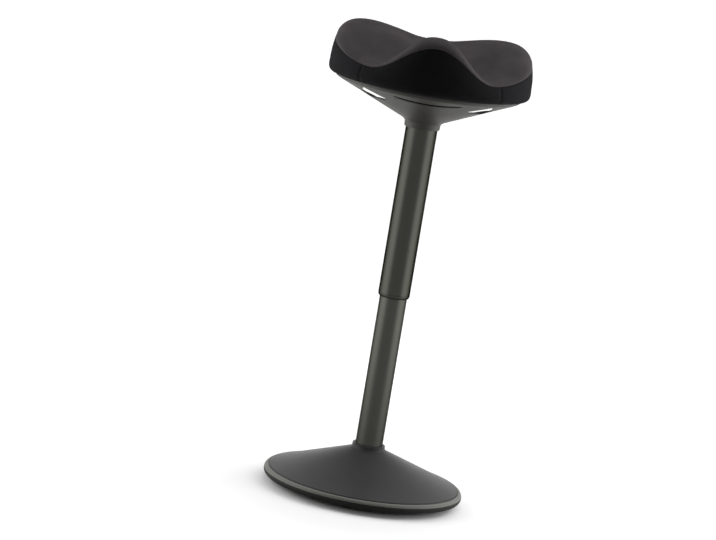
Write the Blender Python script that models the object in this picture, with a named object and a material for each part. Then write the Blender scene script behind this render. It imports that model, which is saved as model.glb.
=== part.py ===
"""Balance stool: saddle seat on a gas column that swivels on a weighted rocker base.

Metres, +Z up. The floor is z = 0, the column stands on the Z axis and the pommel points to -Y.
"""

from math import asin, cos, pi, radians, sin, sqrt

import bmesh
import bpy
from mathutils import Matrix, Vector

# Clearances
GAP = 0.0003            # between pieces that touch
SLIDE_GAP = 0.0003      # between pieces that slide or turn on each other
FOAM_GAP = 0.0006       # between the foam and its cover

# Rocker base
BASE_RADIUS = 0.183
RIM_WIDTH = 0.009       # rim ring that shows outside the cover
SEAM_HEIGHT = 0.027     # where the cover meets the rim ring
SOLE_FLAT_RADIUS = 0.055
ROCKER_RADIUS = 0.70    # arc of the sole outside its flat
SOLE_THICKNESS = 0.004
PAN_THICKNESS = 0.005
PAN_LIP = 0.003
PAN_STEP = 0.004        # from the cover's edge in to the pan's edge
SOLE_STEP = 0.001       # from the pan's edge in to the sole's edge
BALLAST_ROOM = 0.009    # between the ballast and the cover's screw bosses
BALLAST_THICKNESS = 0.013
COVER_WALL = 0.003
COVER_SLOPE = 0.388     # fall of the cone per unit of radius
EDGE_ROLL = 0.006       # width of the cover's rolled edge
COLLAR_WALL = 0.0047
COLLAR_HEIGHT = 0.009
COLLAR_CHAMFER = 0.001
COVER_SCREW_INSET = 0.017  # from the pan's lip in to the cover screws
COVER_SCREW_COUNT = 4
COVER_BOSS_RADIUS = 0.006

# Column
COLUMN_RADIUS = 0.025
COLUMN_WALL = 0.0018
HUB_WALL = 0.007
HUB_HEIGHT = 0.036
HUB_FLANGE_RADIUS = 0.055
HUB_FLANGE_THICKNESS = 0.005
HUB_BOLT_CIRCLE = 0.044
HUB_BOLT_COUNT = 4
BUSH_LENGTH = 0.100
BUSH_LIP = 0.003
END_PLATE_LIFT = 0.0055
END_PLATE_THICKNESS = 0.004
RACE_THICKNESS = 0.002
CAGE_THICKNESS = 0.0034
BEARING_RADIUS = 0.013
BUMP_THICKNESS = 0.005
CLIP_RADIUS = 0.008
CLIP_THICKNESS = 0.002
ROD_END = 0.0005        # end of the rod past its clip

# Gas spring
STROKE = 0.250
ROD_RADIUS = 0.005
ROD_TIP_RADIUS = 0.004
CYLINDER_RADIUS = 0.014
CYLINDER_WALL = 0.003
CYLINDER_TAPER = 0.0007
CYLINDER_HEAD = 0.012
STROKE_RESERVE = 0.004  # left under the cylinder at the lowest seat height
GLAND_LENGTH = 0.012
PISTON_LENGTH = 0.014
VALVE_RADIUS = 0.003
VALVE_LENGTH = 0.016

# Sleeve
SLEEVE_RADIUS = 0.029
SLEEVE_WALL = 0.0020
SLEEVE_BOTTOM = 0.372
GLIDE_LENGTH = 0.014
GLIDE_LIP = 0.0035
CAP_THICKNESS = 0.0045
CAP_PLUG = 0.009
CAP_PLUG_WALL = 0.004
SLEEVE_RESERVE = 0.002  # left under the sleeve's cap at the lowest seat height

# Seat shell
SEAT_UNDERSIDE = 0.7635
LIP_HEIGHT = 0.0042     # upright edge of the shell above its cone
NECK_HEIGHT = 0.013
NECK_FLARE = 0.0025     # widening from the neck to the foot of the cone
NECK_ROLL = 0.004       # height of that widening
NECK_DRAFT = 0.0005
NECK_DEPTH = 0.014      # length of sleeve inside the neck
SHELL_WALL = 0.003
SHELL_RISE = 0.063      # height of the cone from neck to lip
SHELL_INSET = 0.017     # from the cushion's outline to the shell's lip
GRIP_START = 45.0       # side grip openings, in degrees from the front
GRIP_STOP = 135.0
GRIP_TIP_OUTER = 0.66   # their edges, as shares of the cone's length
GRIP_TIP_INNER = 0.51
GRIP_OUTER = 0.88
GRIP_WAIST = 0.64
GRIP_INNER = 0.28
GRIP_ROUND = 0.12
FINGER_INNER = 0.69     # front finger slot
FINGER_OUTER = 0.79
FINGER_HALF_ANGLE = 30.0
FINGER_END = 0.45       # height of the finger slot at its ends, as a share of its middle
ROW_STEP = 0.02         # least share of the cone between two rows of its facets
BOSS_FRONT = 41.25      # screw bosses, in degrees from the front
BOSS_REAR = 146.25
BOSS_SHARE = 0.88
SHELL_BOSS_RADIUS = 0.006
SHELL_SCREW_SINK = 0.0075

# Seat plate and release
PLATE_THICKNESS = 0.003
PLATE_RADIUS = 0.095
PLATE_DISH_RADIUS = 0.055
PLATE_DROP = 0.020
PLATE_BOLT_CIRCLE = 0.083
SOCKET_WALL = 0.006
PIVOT_Y = -0.028
PIVOT_PIN_RADIUS = 0.0025
BRACKET_WALL = 0.002
BRACKET_LENGTH = 0.018
LEVER_WIDTH = 0.020
LEVER_THICKNESS = 0.004
LEVER_TIP = 0.005       # reach past the column's axis
LEVER_BARREL = 0.0045
LEVER_SIDE_ROOM = 0.005  # beside the lever where it crosses the seat plate
PIN_END = 0.002         # end of the pivot pin past its bracket
PADDLE_REACH = 0.122
PADDLE_DEPTH = 0.022
PADDLE_HALF_ANGLE = 24.0
PADDLE_NECK = 0.010     # length over which the lever widens to the paddle
PADDLE_SHOULDER = 3.0   # degrees from the lever's side to the paddle's inner corner

# Cushion
SEAT_HALF_WIDTH = 0.185
SEAT_FRONT = 0.160
SEAT_REAR = 0.163
FRONT_FULLNESS = 1.8    # exponent of the outline in front of the widest line
REAR_FULLNESS = 2.4
BOARD_THICKNESS = 0.012
COVER_CLOTH = 0.002
SIDE_DRAW = 0.004       # side band drawn in at the seam and at its hem
HEM_WIDTH = 0.018
BAND_BELLY = 0.45       # share of the band's height where it is widest
SHOULDER = 0.78         # share of the outline where the crown starts to roll over
CROWN_POWER = 2.4
POMMEL_BREADTH = 1.25   # above 1, the pommel's crown is broader than its seam
CHANNEL_ANGLE = 45.0    # degrees from the front, round the column
LOBE_ANGLE = 112.0
CENTRE_HEIGHT = 0.058   # heights above the underside
POMMEL_CROWN = 0.100
CHANNEL_CROWN = 0.036
LOBE_CROWN = 0.0885
NOTCH_CROWN = 0.062
POMMEL_SEAM = 0.0825
CHANNEL_SEAM = 0.0285
LOBE_SEAM = 0.062
NOTCH_SEAM = 0.040

# Fasteners
BOLT_RADIUS = 0.003
BOLT_HEAD_RADIUS = 0.0055
BOLT_HEAD_HEIGHT = 0.004
SCREW_RADIUS = 0.002
SCREW_HEAD_RADIUS = 0.0042
SCREW_HEAD_HEIGHT = 0.0024
SCREW_BITE = 0.011
T_NUT_RADIUS = 0.0048
T_NUT_FLANGE_RADIUS = 0.009
T_NUT_FLANGE = 0.0012
T_NUT_LENGTH = 0.008

# Facets round a turned piece
FINE = 48
MEDIUM = 32
COARSE = 20
TINY = 8

for old in list(bpy.data.objects):
    bpy.data.objects.remove(old, do_unlink=True)


def finish(name, colour, roughness, metallic=0.0):
    """A plain Principled material."""
    material = bpy.data.materials.new(name)
    material.use_nodes = True
    shader = material.node_tree.nodes["Principled BSDF"]
    shader.inputs["Base Color"].default_value = (*colour, 1.0)
    shader.inputs["Roughness"].default_value = roughness
    shader.inputs["Metallic"].default_value = metallic
    return material


CLOTH = finish("charcoal_cloth", (0.020, 0.019, 0.020), 0.9)
FOAM = finish("cream_foam", (0.70, 0.62, 0.45), 0.9)
SHELL_PLASTIC = finish("grey_olive_nylon", (0.050, 0.050, 0.042), 0.5)
COVER_PLASTIC = finish("charcoal_plastic", (0.040, 0.040, 0.040), 0.5)
RIM_RUBBER = finish("grey_rim_rubber", (0.075, 0.075, 0.068), 0.6)
SOLE_RUBBER = finish("black_rubber", (0.012, 0.012, 0.012), 0.8)
TUBE_PAINT = finish("dark_tube_paint", (0.045, 0.045, 0.041), 0.38, 0.3)
STEEL = finish("bright_steel", (0.55, 0.55, 0.56), 0.35, 1.0)
IRON = finish("cast_iron", (0.06, 0.06, 0.06), 0.7, 0.6)
ACETAL = finish("white_acetal", (0.70, 0.70, 0.68), 0.5)
PLYWOOD = finish("plywood", (0.52, 0.36, 0.20), 0.7)


def axis_empty(name, place=(0, 0, 0), parent=None):
    """An empty on a joint's axis that carries the pieces of one moving body."""
    empty = bpy.data.objects.new(name, None)
    empty.location = place
    empty.parent = parent
    bpy.context.collection.objects.link(empty)
    return empty


def piece(name, mesh_data, material, body, place=(0, 0, 0), sharp=35):
    """Closes a bmesh into a named object that rides on its body's empty."""
    bmesh.ops.recalc_face_normals(mesh_data, faces=mesh_data.faces)
    mesh = bpy.data.meshes.new(name)
    mesh_data.to_mesh(mesh)
    mesh_data.free()
    mesh.shade_smooth()
    mesh.set_sharp_from_angle(angle=radians(sharp))
    mesh.materials.append(material)
    made = bpy.data.objects.new(name, mesh)
    made.location = place
    made.parent = body
    bpy.context.collection.objects.link(made)
    return made


def turned(profile, segments):
    """A bmesh turned about Z from (radius, height) points. An open profile ends on the axis."""
    shape = bmesh.new()
    points = [shape.verts.new((radius, 0, height)) for radius, height in profile]
    edges = [shape.edges.new(pair) for pair in zip(points, points[1:])]
    if profile[0][0] > 0 or profile[-1][0] > 0:
        edges.append(shape.edges.new((points[-1], points[0])))
    bmesh.ops.spin(
        shape, geom=points + edges, cent=(0, 0, 0), axis=(0, 0, 1),
        angle=2 * pi, steps=segments, use_merge=True,
    )
    bmesh.ops.remove_doubles(shape, verts=shape.verts, dist=1e-6)
    return shape


def ring(inner, outer, bottom, top):
    """The profile of a plain ring or tube."""
    return [(inner, bottom), (outer, bottom), (outer, top), (inner, top)]


def helper(name, shape):
    """A hidden cutter or addition for a Boolean."""
    bmesh.ops.recalc_face_normals(shape, faces=shape.faces)
    mesh = bpy.data.meshes.new(name)
    shape.to_mesh(mesh)
    shape.free()
    made = bpy.data.objects.new(name, mesh)
    made.hide_render = True
    made.display_type = 'WIRE'
    bpy.context.collection.objects.link(made)
    return made


def combine(target, tool, operation):
    boolean = target.modifiers.new(tool.name, 'BOOLEAN')
    boolean.operation = operation
    boolean.object = tool


def rods(radius, bottom, top, places, segments=TINY):
    """Upright cylinders at several places, in one bmesh."""
    shape = bmesh.new()
    for x, y in places:
        centre = Matrix.Translation((x, y, (bottom + top) / 2))
        bmesh.ops.create_cone(
            shape, cap_ends=True, segments=segments, radius1=radius, radius2=radius,
            depth=top - bottom, matrix=centre,
        )
    return shape


def block(low, high):
    """An upright box between two corners."""
    shape = bmesh.new()
    size = Vector(high) - Vector(low)
    middle = (Vector(high) + Vector(low)) / 2
    place = Matrix.Translation(middle) @ Matrix.Diagonal((*size, 1.0))
    bmesh.ops.create_cube(shape, size=1.0, matrix=place)
    return shape


def drill(target, radius, bottom, top, places, segments=TINY):
    """Holes through a piece at several places."""
    bits = helper(f"{target.name}_drill_{len(target.modifiers)}", rods(radius, bottom, top, places, segments))
    combine(target, bits, 'DIFFERENCE')


def circle_places(radius, count):
    """Places round a circle, off the facets' own edges."""
    start = 45 + 180 / FINE
    turns = [radians(start + 360 * step / count) for step in range(count)]
    return [(radius * cos(turn), radius * sin(turn)) for turn in turns]


def headed(shank_radius, shank, head_radius, head):
    """A fastener's profile: its shank points up from z = 0, its head hangs below."""
    return [
        (0, -head),
        (head_radius, -head),
        (head_radius, 0),
        (shank_radius, 0),
        (shank_radius, shank),
        (0, shank),
    ]


def fasteners(name, profile, places, height, material, body, upside_down=False):
    """One object for each copy of a bolt or screw."""
    for number, (x, y) in enumerate(places, start=1):
        made = piece(f"{name}_{number}", turned(profile, TINY), material, body, (x, y, height))
        if upside_down:
            made.rotation_euler = (pi, 0, 0)


base_body = axis_empty("base_body")
rod_body = axis_empty("swivel_axis", parent=base_body)
seat_body = axis_empty("height_axis", parent=rod_body)


# Rocker base
def sole_height(radius):
    """Height of the sole's tread above the floor: flat in the middle, then an arc."""
    reach = max(0.0, radius - SOLE_FLAT_RADIUS)
    return ROCKER_RADIUS - sqrt(ROCKER_RADIUS ** 2 - reach ** 2)


def rocker_points(lift, inner, outer, steps=3):
    """Points of a surface parallel to the tread, from inner to outer radius."""
    radii = [inner + (outer - inner) * step / steps for step in range(steps + 1)]
    return [(radius, sole_height(radius) + lift) for radius in radii]


cover_radius = BASE_RADIUS - RIM_WIDTH
pan_radius = cover_radius - PAN_STEP
lip_inner = pan_radius - PAN_LIP
sole_radius = pan_radius - SOLE_STEP
pan_lift = SOLE_THICKNESS + GAP
pan_top = pan_lift + PAN_THICKNESS
cover_screw_circle = lip_inner - COVER_SCREW_INSET
ballast_radius = cover_screw_circle - COVER_BOSS_RADIUS - BALLAST_ROOM
ballast_lift = pan_top + GAP
ballast_top = ballast_lift + BALLAST_THICKNESS
column_bottom = pan_top + GAP
collar_inner = COLUMN_RADIUS + GAP
collar_outer = collar_inner + COLLAR_WALL


def cover_height(radius):
    """The outside of the conical cover."""
    return SEAM_HEIGHT + COVER_SLOPE * (cover_radius - radius)


cover_drop = COVER_WALL * sqrt(1 + COVER_SLOPE ** 2)
collar_top = cover_height(collar_outer) + COLLAR_HEIGHT
collar_fillet = 0.6 * COLLAR_HEIGHT
roll_start = cover_radius - EDGE_ROLL

sole = piece(
    "rocker_sole",
    turned(
        [(0, 0)]
        + rocker_points(0, SOLE_FLAT_RADIUS, sole_radius)
        + rocker_points(SOLE_THICKNESS, SOLE_FLAT_RADIUS, sole_radius)[::-1]
        + [(0, SOLE_THICKNESS)],
        FINE,
    ),
    SOLE_RUBBER, base_body,
)

pan = piece(
    "base_pan",
    turned(
        [(0, pan_lift)]
        + rocker_points(pan_lift, SOLE_FLAT_RADIUS, pan_radius)
        + [
            (pan_radius, cover_height(pan_radius) - cover_drop - GAP),
            (lip_inner, cover_height(lip_inner) - cover_drop - GAP),
        ]
        + rocker_points(pan_top, SOLE_FLAT_RADIUS, lip_inner)[::-1]
        + [(0, pan_top)],
        FINE,
    ),
    COVER_PLASTIC, base_body,
)

hub_bolt_places = circle_places(HUB_BOLT_CIRCLE, HUB_BOLT_COUNT)
cover_screw_places = circle_places(cover_screw_circle, COVER_SCREW_COUNT)
screw_seat = sole_height(cover_screw_circle + SCREW_HEAD_RADIUS) + pan_lift + SCREW_HEAD_HEIGHT + GAP

ballast = piece(
    "ballast_plate",
    turned(
        [(collar_inner, ballast_lift)]
        + rocker_points(ballast_lift, SOLE_FLAT_RADIUS, ballast_radius, 2)
        + [(ballast_radius, ballast_top), (collar_inner, ballast_top)],
        MEDIUM,
    ),
    IRON, base_body,
)

flange_bottom = ballast_top + GAP
flange_top = flange_bottom + HUB_FLANGE_THICKNESS
hub_outer = collar_inner + HUB_WALL
hub = piece(
    "column_hub",
    turned(
        [
            (collar_inner, flange_bottom),
            (HUB_FLANGE_RADIUS, flange_bottom),
            (HUB_FLANGE_RADIUS, flange_top),
            (hub_outer, flange_top),
            (hub_outer, flange_top + HUB_HEIGHT),
            (collar_inner, flange_top + HUB_HEIGHT),
        ],
        MEDIUM,
    ),
    STEEL, base_body,
)

bolt_bottom = pan_lift + PAN_THICKNESS / 4
for plate in (pan, ballast, hub):
    drill(plate, BOLT_RADIUS + GAP, 0, flange_top + GAP, hub_bolt_places)
fasteners(
    "hub_bolt",
    headed(BOLT_RADIUS, flange_top + GAP - bolt_bottom, BOLT_HEAD_RADIUS, BOLT_HEAD_HEIGHT),
    hub_bolt_places, flange_top + GAP, STEEL, base_body, upside_down=True,
)

cover = piece(
    "base_cover",
    turned(
        [
            (collar_inner, collar_top),
            (collar_inner, cover_height(collar_inner) - cover_drop),
            (pan_radius, cover_height(pan_radius) - cover_drop),
            (cover_radius, cover_height(cover_radius) - cover_drop),
            (cover_radius, SEAM_HEIGHT),
            (cover_radius - EDGE_ROLL / 2, cover_height(roll_start) - EDGE_ROLL / 8),
            (roll_start, cover_height(roll_start)),
            (collar_outer + collar_fillet, cover_height(collar_outer + collar_fillet)),
            (collar_outer + collar_fillet / 4, cover_height(collar_outer) + collar_fillet / 4),
            (collar_outer, cover_height(collar_outer) + collar_fillet),
            (collar_outer, collar_top - COLLAR_CHAMFER),
            (collar_outer - COLLAR_CHAMFER, collar_top),
        ][::-1],
        FINE,
    ),
    COVER_PLASTIC, base_body,
)
boss_bottom = sole_height(cover_screw_circle + COVER_BOSS_RADIUS) + pan_top + GAP
boss_top = cover_height(cover_screw_circle) - cover_drop / 2
cover_bosses = rods(COVER_BOSS_RADIUS, boss_bottom, boss_top, cover_screw_places)
combine(cover, helper("cover_bosses", cover_bosses), 'UNION')
drill(cover, SCREW_RADIUS + GAP, 0, boss_bottom + SCREW_BITE, cover_screw_places)
drill(pan, SCREW_RADIUS + GAP, 0, boss_bottom, cover_screw_places)
drill(pan, SCREW_HEAD_RADIUS + GAP, 0, screw_seat, cover_screw_places)
cover_shank = boss_bottom + SCREW_BITE - GAP - screw_seat
fasteners(
    "cover_screw",
    headed(SCREW_RADIUS, cover_shank, SCREW_HEAD_RADIUS, SCREW_HEAD_HEIGHT),
    cover_screw_places, screw_seat - GAP, STEEL, base_body,
)

rim_inner = pan_radius + GAP
rim_foot = cover_radius + 0.25 * RIM_WIDTH
rim_bottom = sole_height(rim_foot)
rim_ledge = SEAM_HEIGHT - cover_drop - GAP
rim_round = (SEAM_HEIGHT - rim_bottom) / 2
rim_middle = rim_bottom + rim_round
rim_arc = [radians(turn) for turn in (-60, -30, 0, 30, 60)]
rim_belly = BASE_RADIUS - rim_foot
piece(
    "rim_ring",
    turned(
        [(rim_inner, rim_bottom), (rim_foot, rim_bottom)]
        + [(rim_foot + rim_belly * cos(turn), rim_middle + rim_round * sin(turn)) for turn in rim_arc]
        + [
            (cover_radius + GAP, SEAM_HEIGHT - GAP),
            (cover_radius + GAP, rim_ledge),
            (rim_inner, rim_ledge),
        ],
        FINE,
    ),
    RIM_RUBBER, base_body,
)

# Gas column, which ends below the sleeve's cap when the seat is at its lowest
shell_lip = SEAT_UNDERSIDE - GAP
cone_top = shell_lip - LIP_HEIGHT
cone_bottom = cone_top - SHELL_RISE
neck_bottom = cone_bottom - NECK_HEIGHT
sleeve_top = neck_bottom + NECK_DEPTH
cap_bottom = sleeve_top + GAP
bush_lip_top = cap_bottom - CAP_PLUG - STROKE - SLEEVE_RESERVE
bush_lip_bottom = bush_lip_top - BUSH_LIP
column_top = bush_lip_bottom - GAP
column_inner = COLUMN_RADIUS - COLUMN_WALL
bore_fit = column_inner - GAP
piece(
    "lower_tube",
    turned(ring(column_inner, COLUMN_RADIUS, column_bottom, column_top), FINE),
    TUBE_PAINT, base_body,
)
bush_inner = CYLINDER_RADIUS + SLIDE_GAP
piece(
    "guide_bush",
    turned(
        [
            (bush_inner, column_top - BUSH_LENGTH),
            (bore_fit, column_top - BUSH_LENGTH),
            (bore_fit, bush_lip_bottom),
            (COLUMN_RADIUS - GAP, bush_lip_bottom),
            (COLUMN_RADIUS - GAP, bush_lip_top),
            (bush_inner, bush_lip_top),
        ],
        MEDIUM,
    ),
    ACETAL, base_body,
)
end_plate_bottom = column_bottom + END_PLATE_LIFT
end_plate_top = end_plate_bottom + END_PLATE_THICKNESS
tip_hole = ROD_TIP_RADIUS + SLIDE_GAP
piece(
    "column_end_plate",
    turned(ring(tip_hole, bore_fit, end_plate_bottom, end_plate_top), COARSE),
    STEEL, base_body,
)
lower_race = end_plate_top + GAP
cage_bottom = lower_race + RACE_THICKNESS + GAP
upper_race = cage_bottom + CAGE_THICKNESS + GAP
rod_shoulder = upper_race + RACE_THICKNESS + GAP
piece(
    "bearing_lower_race",
    turned(ring(tip_hole, BEARING_RADIUS, lower_race, lower_race + RACE_THICKNESS), COARSE),
    STEEL, base_body,
)
piece(
    "bearing_cage",
    turned(ring(tip_hole, BEARING_RADIUS, cage_bottom, cage_bottom + CAGE_THICKNESS), COARSE),
    ACETAL, base_body,
)
piece(
    "bearing_upper_race",
    turned(ring(ROD_TIP_RADIUS + GAP, BEARING_RADIUS, upper_race, upper_race + RACE_THICKNESS), COARSE),
    STEEL, rod_body,
)
bump_top = rod_shoulder + BUMP_THICKNESS
piece(
    "bump_washer",
    turned(ring(ROD_RADIUS + GAP, BEARING_RADIUS, rod_shoulder, bump_top), COARSE),
    SOLE_RUBBER, rod_body,
)
clip_top = end_plate_bottom - SLIDE_GAP
clip_bottom = clip_top - CLIP_THICKNESS
piece(
    "rod_clip",
    turned(ring(ROD_TIP_RADIUS + GAP, CLIP_RADIUS, clip_bottom, clip_top), COARSE),
    STEEL, rod_body,
)

cylinder_bottom = bump_top + STROKE + STROKE_RESERVE
cylinder_bore = CYLINDER_RADIUS - CYLINDER_WALL
gland_top = cylinder_bottom + GLAND_LENGTH
piston_bottom = gland_top + GAP
rod_top = piston_bottom - GAP
rod_end = clip_bottom - ROD_END
piece(
    "piston_rod",
    turned(
        [
            (0, rod_end),
            (ROD_TIP_RADIUS, rod_end),
            (ROD_TIP_RADIUS, rod_shoulder),
            (ROD_RADIUS, rod_shoulder),
            (ROD_RADIUS, rod_top),
            (0, rod_top),
        ],
        COARSE,
    ),
    STEEL, rod_body,
)
piece(
    "piston",
    turned(
        [
            (0, piston_bottom),
            (cylinder_bore - SLIDE_GAP, piston_bottom),
            (cylinder_bore - SLIDE_GAP, piston_bottom + PISTON_LENGTH),
            (0, piston_bottom + PISTON_LENGTH),
        ],
        COARSE,
    ),
    ACETAL, rod_body,
)

# Seat plate, which the column's taper carries
board_bottom = SEAT_UNDERSIDE + COVER_CLOTH + GAP
board_top = board_bottom + BOARD_THICKNESS
plate_top = board_bottom - GAP
flange_under = plate_top - PLATE_THICKNESS
dish_top = plate_top - PLATE_DROP
dish_bottom = dish_top - PLATE_THICKNESS
cap_top = cap_bottom + CAP_THICKNESS
socket_bottom = cap_top + GAP
socket_top = dish_bottom - GAP
cylinder_top = dish_top
taper_top_radius = CYLINDER_RADIUS - CYLINDER_TAPER
plate_hole = taper_top_radius + GAP

piece(
    "gas_cylinder",
    turned(
        [
            (cylinder_bore, cylinder_bottom),
            (CYLINDER_RADIUS, cylinder_bottom),
            (CYLINDER_RADIUS, socket_bottom),
            (taper_top_radius, socket_top),
            (taper_top_radius, cylinder_top),
            (VALVE_RADIUS + SLIDE_GAP, cylinder_top),
            (VALVE_RADIUS + SLIDE_GAP, cylinder_top - CYLINDER_HEAD),
            (cylinder_bore, cylinder_top - CYLINDER_HEAD),
        ],
        MEDIUM,
    ),
    STEEL, seat_body,
)
piece(
    "cylinder_gland",
    turned(ring(ROD_RADIUS + SLIDE_GAP, cylinder_bore - GAP, cylinder_bottom, gland_top), COARSE),
    ACETAL, seat_body,
)
piece(
    "taper_socket",
    turned(
        [
            (CYLINDER_RADIUS + GAP, socket_bottom),
            (CYLINDER_RADIUS + SOCKET_WALL, socket_bottom),
            (CYLINDER_RADIUS + SOCKET_WALL, socket_top),
            (taper_top_radius + GAP, socket_top),
        ],
        MEDIUM,
    ),
    STEEL, seat_body,
)
dish_run = 0.65 * PLATE_DROP
seat_plate = piece(
    "seat_plate",
    turned(
        [
            (plate_hole, dish_bottom),
            (PLATE_DISH_RADIUS, dish_bottom),
            (PLATE_DISH_RADIUS + dish_run, flange_under),
            (PLATE_RADIUS, flange_under),
            (PLATE_RADIUS, plate_top),
            (PLATE_DISH_RADIUS + dish_run - PLATE_THICKNESS / 2, plate_top),
            (PLATE_DISH_RADIUS - PLATE_THICKNESS / 2, dish_top),
            (plate_hole, dish_top),
        ],
        MEDIUM,
    ),
    STEEL, seat_body,
)
lever_slot = LEVER_WIDTH / 2 + LEVER_SIDE_ROOM
combine(
    seat_plate,
    helper(
        "seat_plate_lever_slot",
        block(
            (-lever_slot, -PLATE_RADIUS - GAP, dish_top + BRACKET_WALL),
            (lever_slot, -PLATE_DISH_RADIUS + PLATE_THICKNESS, plate_top + GAP),
        ),
    ),
    'DIFFERENCE',
)

# Sleeve over the column
sleeve_inner = SLEEVE_RADIUS - SLEEVE_WALL
sleeve_fit = sleeve_inner - GAP
piece(
    "upper_tube",
    turned(ring(sleeve_inner, SLEEVE_RADIUS, SLEEVE_BOTTOM, sleeve_top), FINE),
    TUBE_PAINT, seat_body,
)
glide_inner = COLUMN_RADIUS + SLIDE_GAP
lip_top = SLEEVE_BOTTOM - GAP
lip_bottom = lip_top - GLIDE_LIP
piece(
    "sleeve_glide",
    turned(
        [
            (glide_inner, lip_bottom),
            (SLEEVE_RADIUS - GLIDE_LIP / 2, lip_bottom),
            (SLEEVE_RADIUS - GLIDE_LIP / 6, lip_bottom + GLIDE_LIP / 4),
            (SLEEVE_RADIUS, lip_bottom + 0.7 * GLIDE_LIP),
            (SLEEVE_RADIUS, lip_top),
            (sleeve_fit, lip_top),
            (sleeve_fit, lip_top + GLIDE_LENGTH),
            (glide_inner, lip_top + GLIDE_LENGTH),
        ],
        MEDIUM,
    ),
    SHELL_PLASTIC, seat_body,
)
piece(
    "sleeve_cap",
    turned(
        [
            (CYLINDER_RADIUS + GAP, cap_bottom),
            (sleeve_fit - CAP_PLUG_WALL, cap_bottom),
            (sleeve_fit - CAP_PLUG_WALL, cap_bottom - CAP_PLUG),
            (sleeve_fit, cap_bottom - CAP_PLUG),
            (sleeve_fit, cap_bottom),
            (SLEEVE_RADIUS, cap_bottom),
            (SLEEVE_RADIUS, cap_top),
            (CYLINDER_RADIUS + GAP, cap_top),
        ],
        MEDIUM,
    ),
    ACETAL, seat_body,
)


# Cushion outline and heights, by angle from the front round the column
def outline(angle):
    """Plan radius of the cushion at its widest."""
    across = abs(sin(angle)) / SEAT_HALF_WIDTH
    along = cos(angle)
    fullness = FRONT_FULLNESS if along > 0 else REAR_FULLNESS
    reach = abs(along) / (SEAT_FRONT if along > 0 else SEAT_REAR)
    return (across ** fullness + reach ** fullness) ** (-1 / fullness)


def from_front(angle):
    """The angle from the front, alike on both sides."""
    return abs((angle + pi) % (2 * pi) - pi)


def around(angle, pommel, channel, lobe, notch, breadth=1.0):
    """Eases a height from pommel to channel, lobe and rear notch. Breadth widens the pommel."""
    turn = from_front(angle)
    channel_turn = radians(CHANNEL_ANGLE)
    if turn <= channel_turn:
        share = (turn / channel_turn) ** breadth
        return pommel + (channel - pommel) * (1 - cos(pi * share)) / 2
    stations = [(channel_turn, channel), (radians(LOBE_ANGLE), lobe), (pi, notch)]
    for (start, low), (stop, high) in zip(stations, stations[1:]):
        if turn <= stop:
            share = (1 - cos(pi * (turn - start) / (stop - start))) / 2
            return low + (high - low) * share
    return notch


def seam_height(angle):
    return SEAT_UNDERSIDE + around(angle, POMMEL_SEAM, CHANNEL_SEAM, LOBE_SEAM, NOTCH_SEAM)


def crown_height(angle, share):
    """Top of the cushion at a share of the way from its centre to its seam."""
    lift = around(angle, POMMEL_CROWN, CHANNEL_CROWN, LOBE_CROWN, NOTCH_CROWN, POMMEL_BREADTH)
    crown = SEAT_UNDERSIDE + lift
    if share < SHOULDER:
        rise = (1 - cos(pi * share / SHOULDER)) / 2
        return SEAT_UNDERSIDE + CENTRE_HEIGHT + (lift - CENTRE_HEIGHT) * rise
    roll = (share - SHOULDER) / (1 - SHOULDER)
    seam = seam_height(angle)
    return seam + (crown - seam) * sqrt(max(0.0, 1 - roll ** CROWN_POWER))


def side_radius(angle, height):
    """The side band bulges between its hem and the seam."""
    share = (height - SEAT_UNDERSIDE) / (seam_height(angle) - SEAT_UNDERSIDE)
    reach = 1 - BAND_BELLY if share > BAND_BELLY else BAND_BELLY
    return outline(angle) - SIDE_DRAW * ((share - BAND_BELLY) / reach) ** 2


def at(angle, radius, height):
    return Vector((radius * sin(angle), -radius * cos(angle), height))


angles = [2 * pi * step / FINE for step in range(FINE)]
roll_shares = [SHOULDER + (1 - SHOULDER) * share for share in (0.35, 0.62, 0.82, 0.94, 1.0)]
crown_shares = [SHOULDER * step / 4 for step in (1, 2, 3, 4)] + roll_shares


def crown_loop(share, inset):
    """One ring of the cushion's top, sunk by the cloth above it."""
    seam_radius = [outline(angle) - SIDE_DRAW - inset for angle in angles]
    return [
        at(angle, share * radius, crown_height(angle, share) - inset)
        for angle, radius in zip(angles, seam_radius)
    ]


def side_loop(share, bottom, inset):
    """One ring of the side, at a share of the way from bottom up to the seam."""
    loop = []
    for angle in angles:
        top = seam_height(angle) - inset
        height = bottom + (top - bottom) * share
        radius = side_radius(angle, min(height + inset, seam_height(angle)))
        loop.append(at(angle, radius - inset, height))
    return loop


def loft(loops, start=None, stop=None, closed=False):
    """A bmesh skinned through loops of points, with a pole at either end or joined to itself."""
    shape = bmesh.new()
    rows = [[shape.verts.new(point) for point in loop] for loop in loops]
    pairs = list(zip(rows, rows[1:]))
    if closed:
        pairs.append((rows[-1], rows[0]))
    for lower, upper in pairs:
        for step in range(FINE):
            after = (step + 1) % FINE
            shape.faces.new((lower[step], lower[after], upper[after], upper[step]))
    for pole, row in ((start, rows[0]), (stop, rows[-1])):
        if pole is None:
            continue
        centre = shape.verts.new(pole)
        for step in range(FINE):
            shape.faces.new((row[step], row[(step + 1) % FINE], centre))
    return shape


foam_inset = COVER_CLOTH + FOAM_GAP
centre_top = SEAT_UNDERSIDE + CENTRE_HEIGHT
foam_bottom = board_top + GAP
foam_loops = [side_loop(share, foam_bottom, foam_inset) for share in (0.0, 0.5)]
foam_loops += [crown_loop(share, foam_inset) for share in reversed(crown_shares)]
piece(
    "seat_foam",
    loft(foam_loops, Vector((0, 0, foam_bottom)), Vector((0, 0, centre_top - foam_inset))),
    FOAM, seat_body, sharp=60,
)

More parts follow.
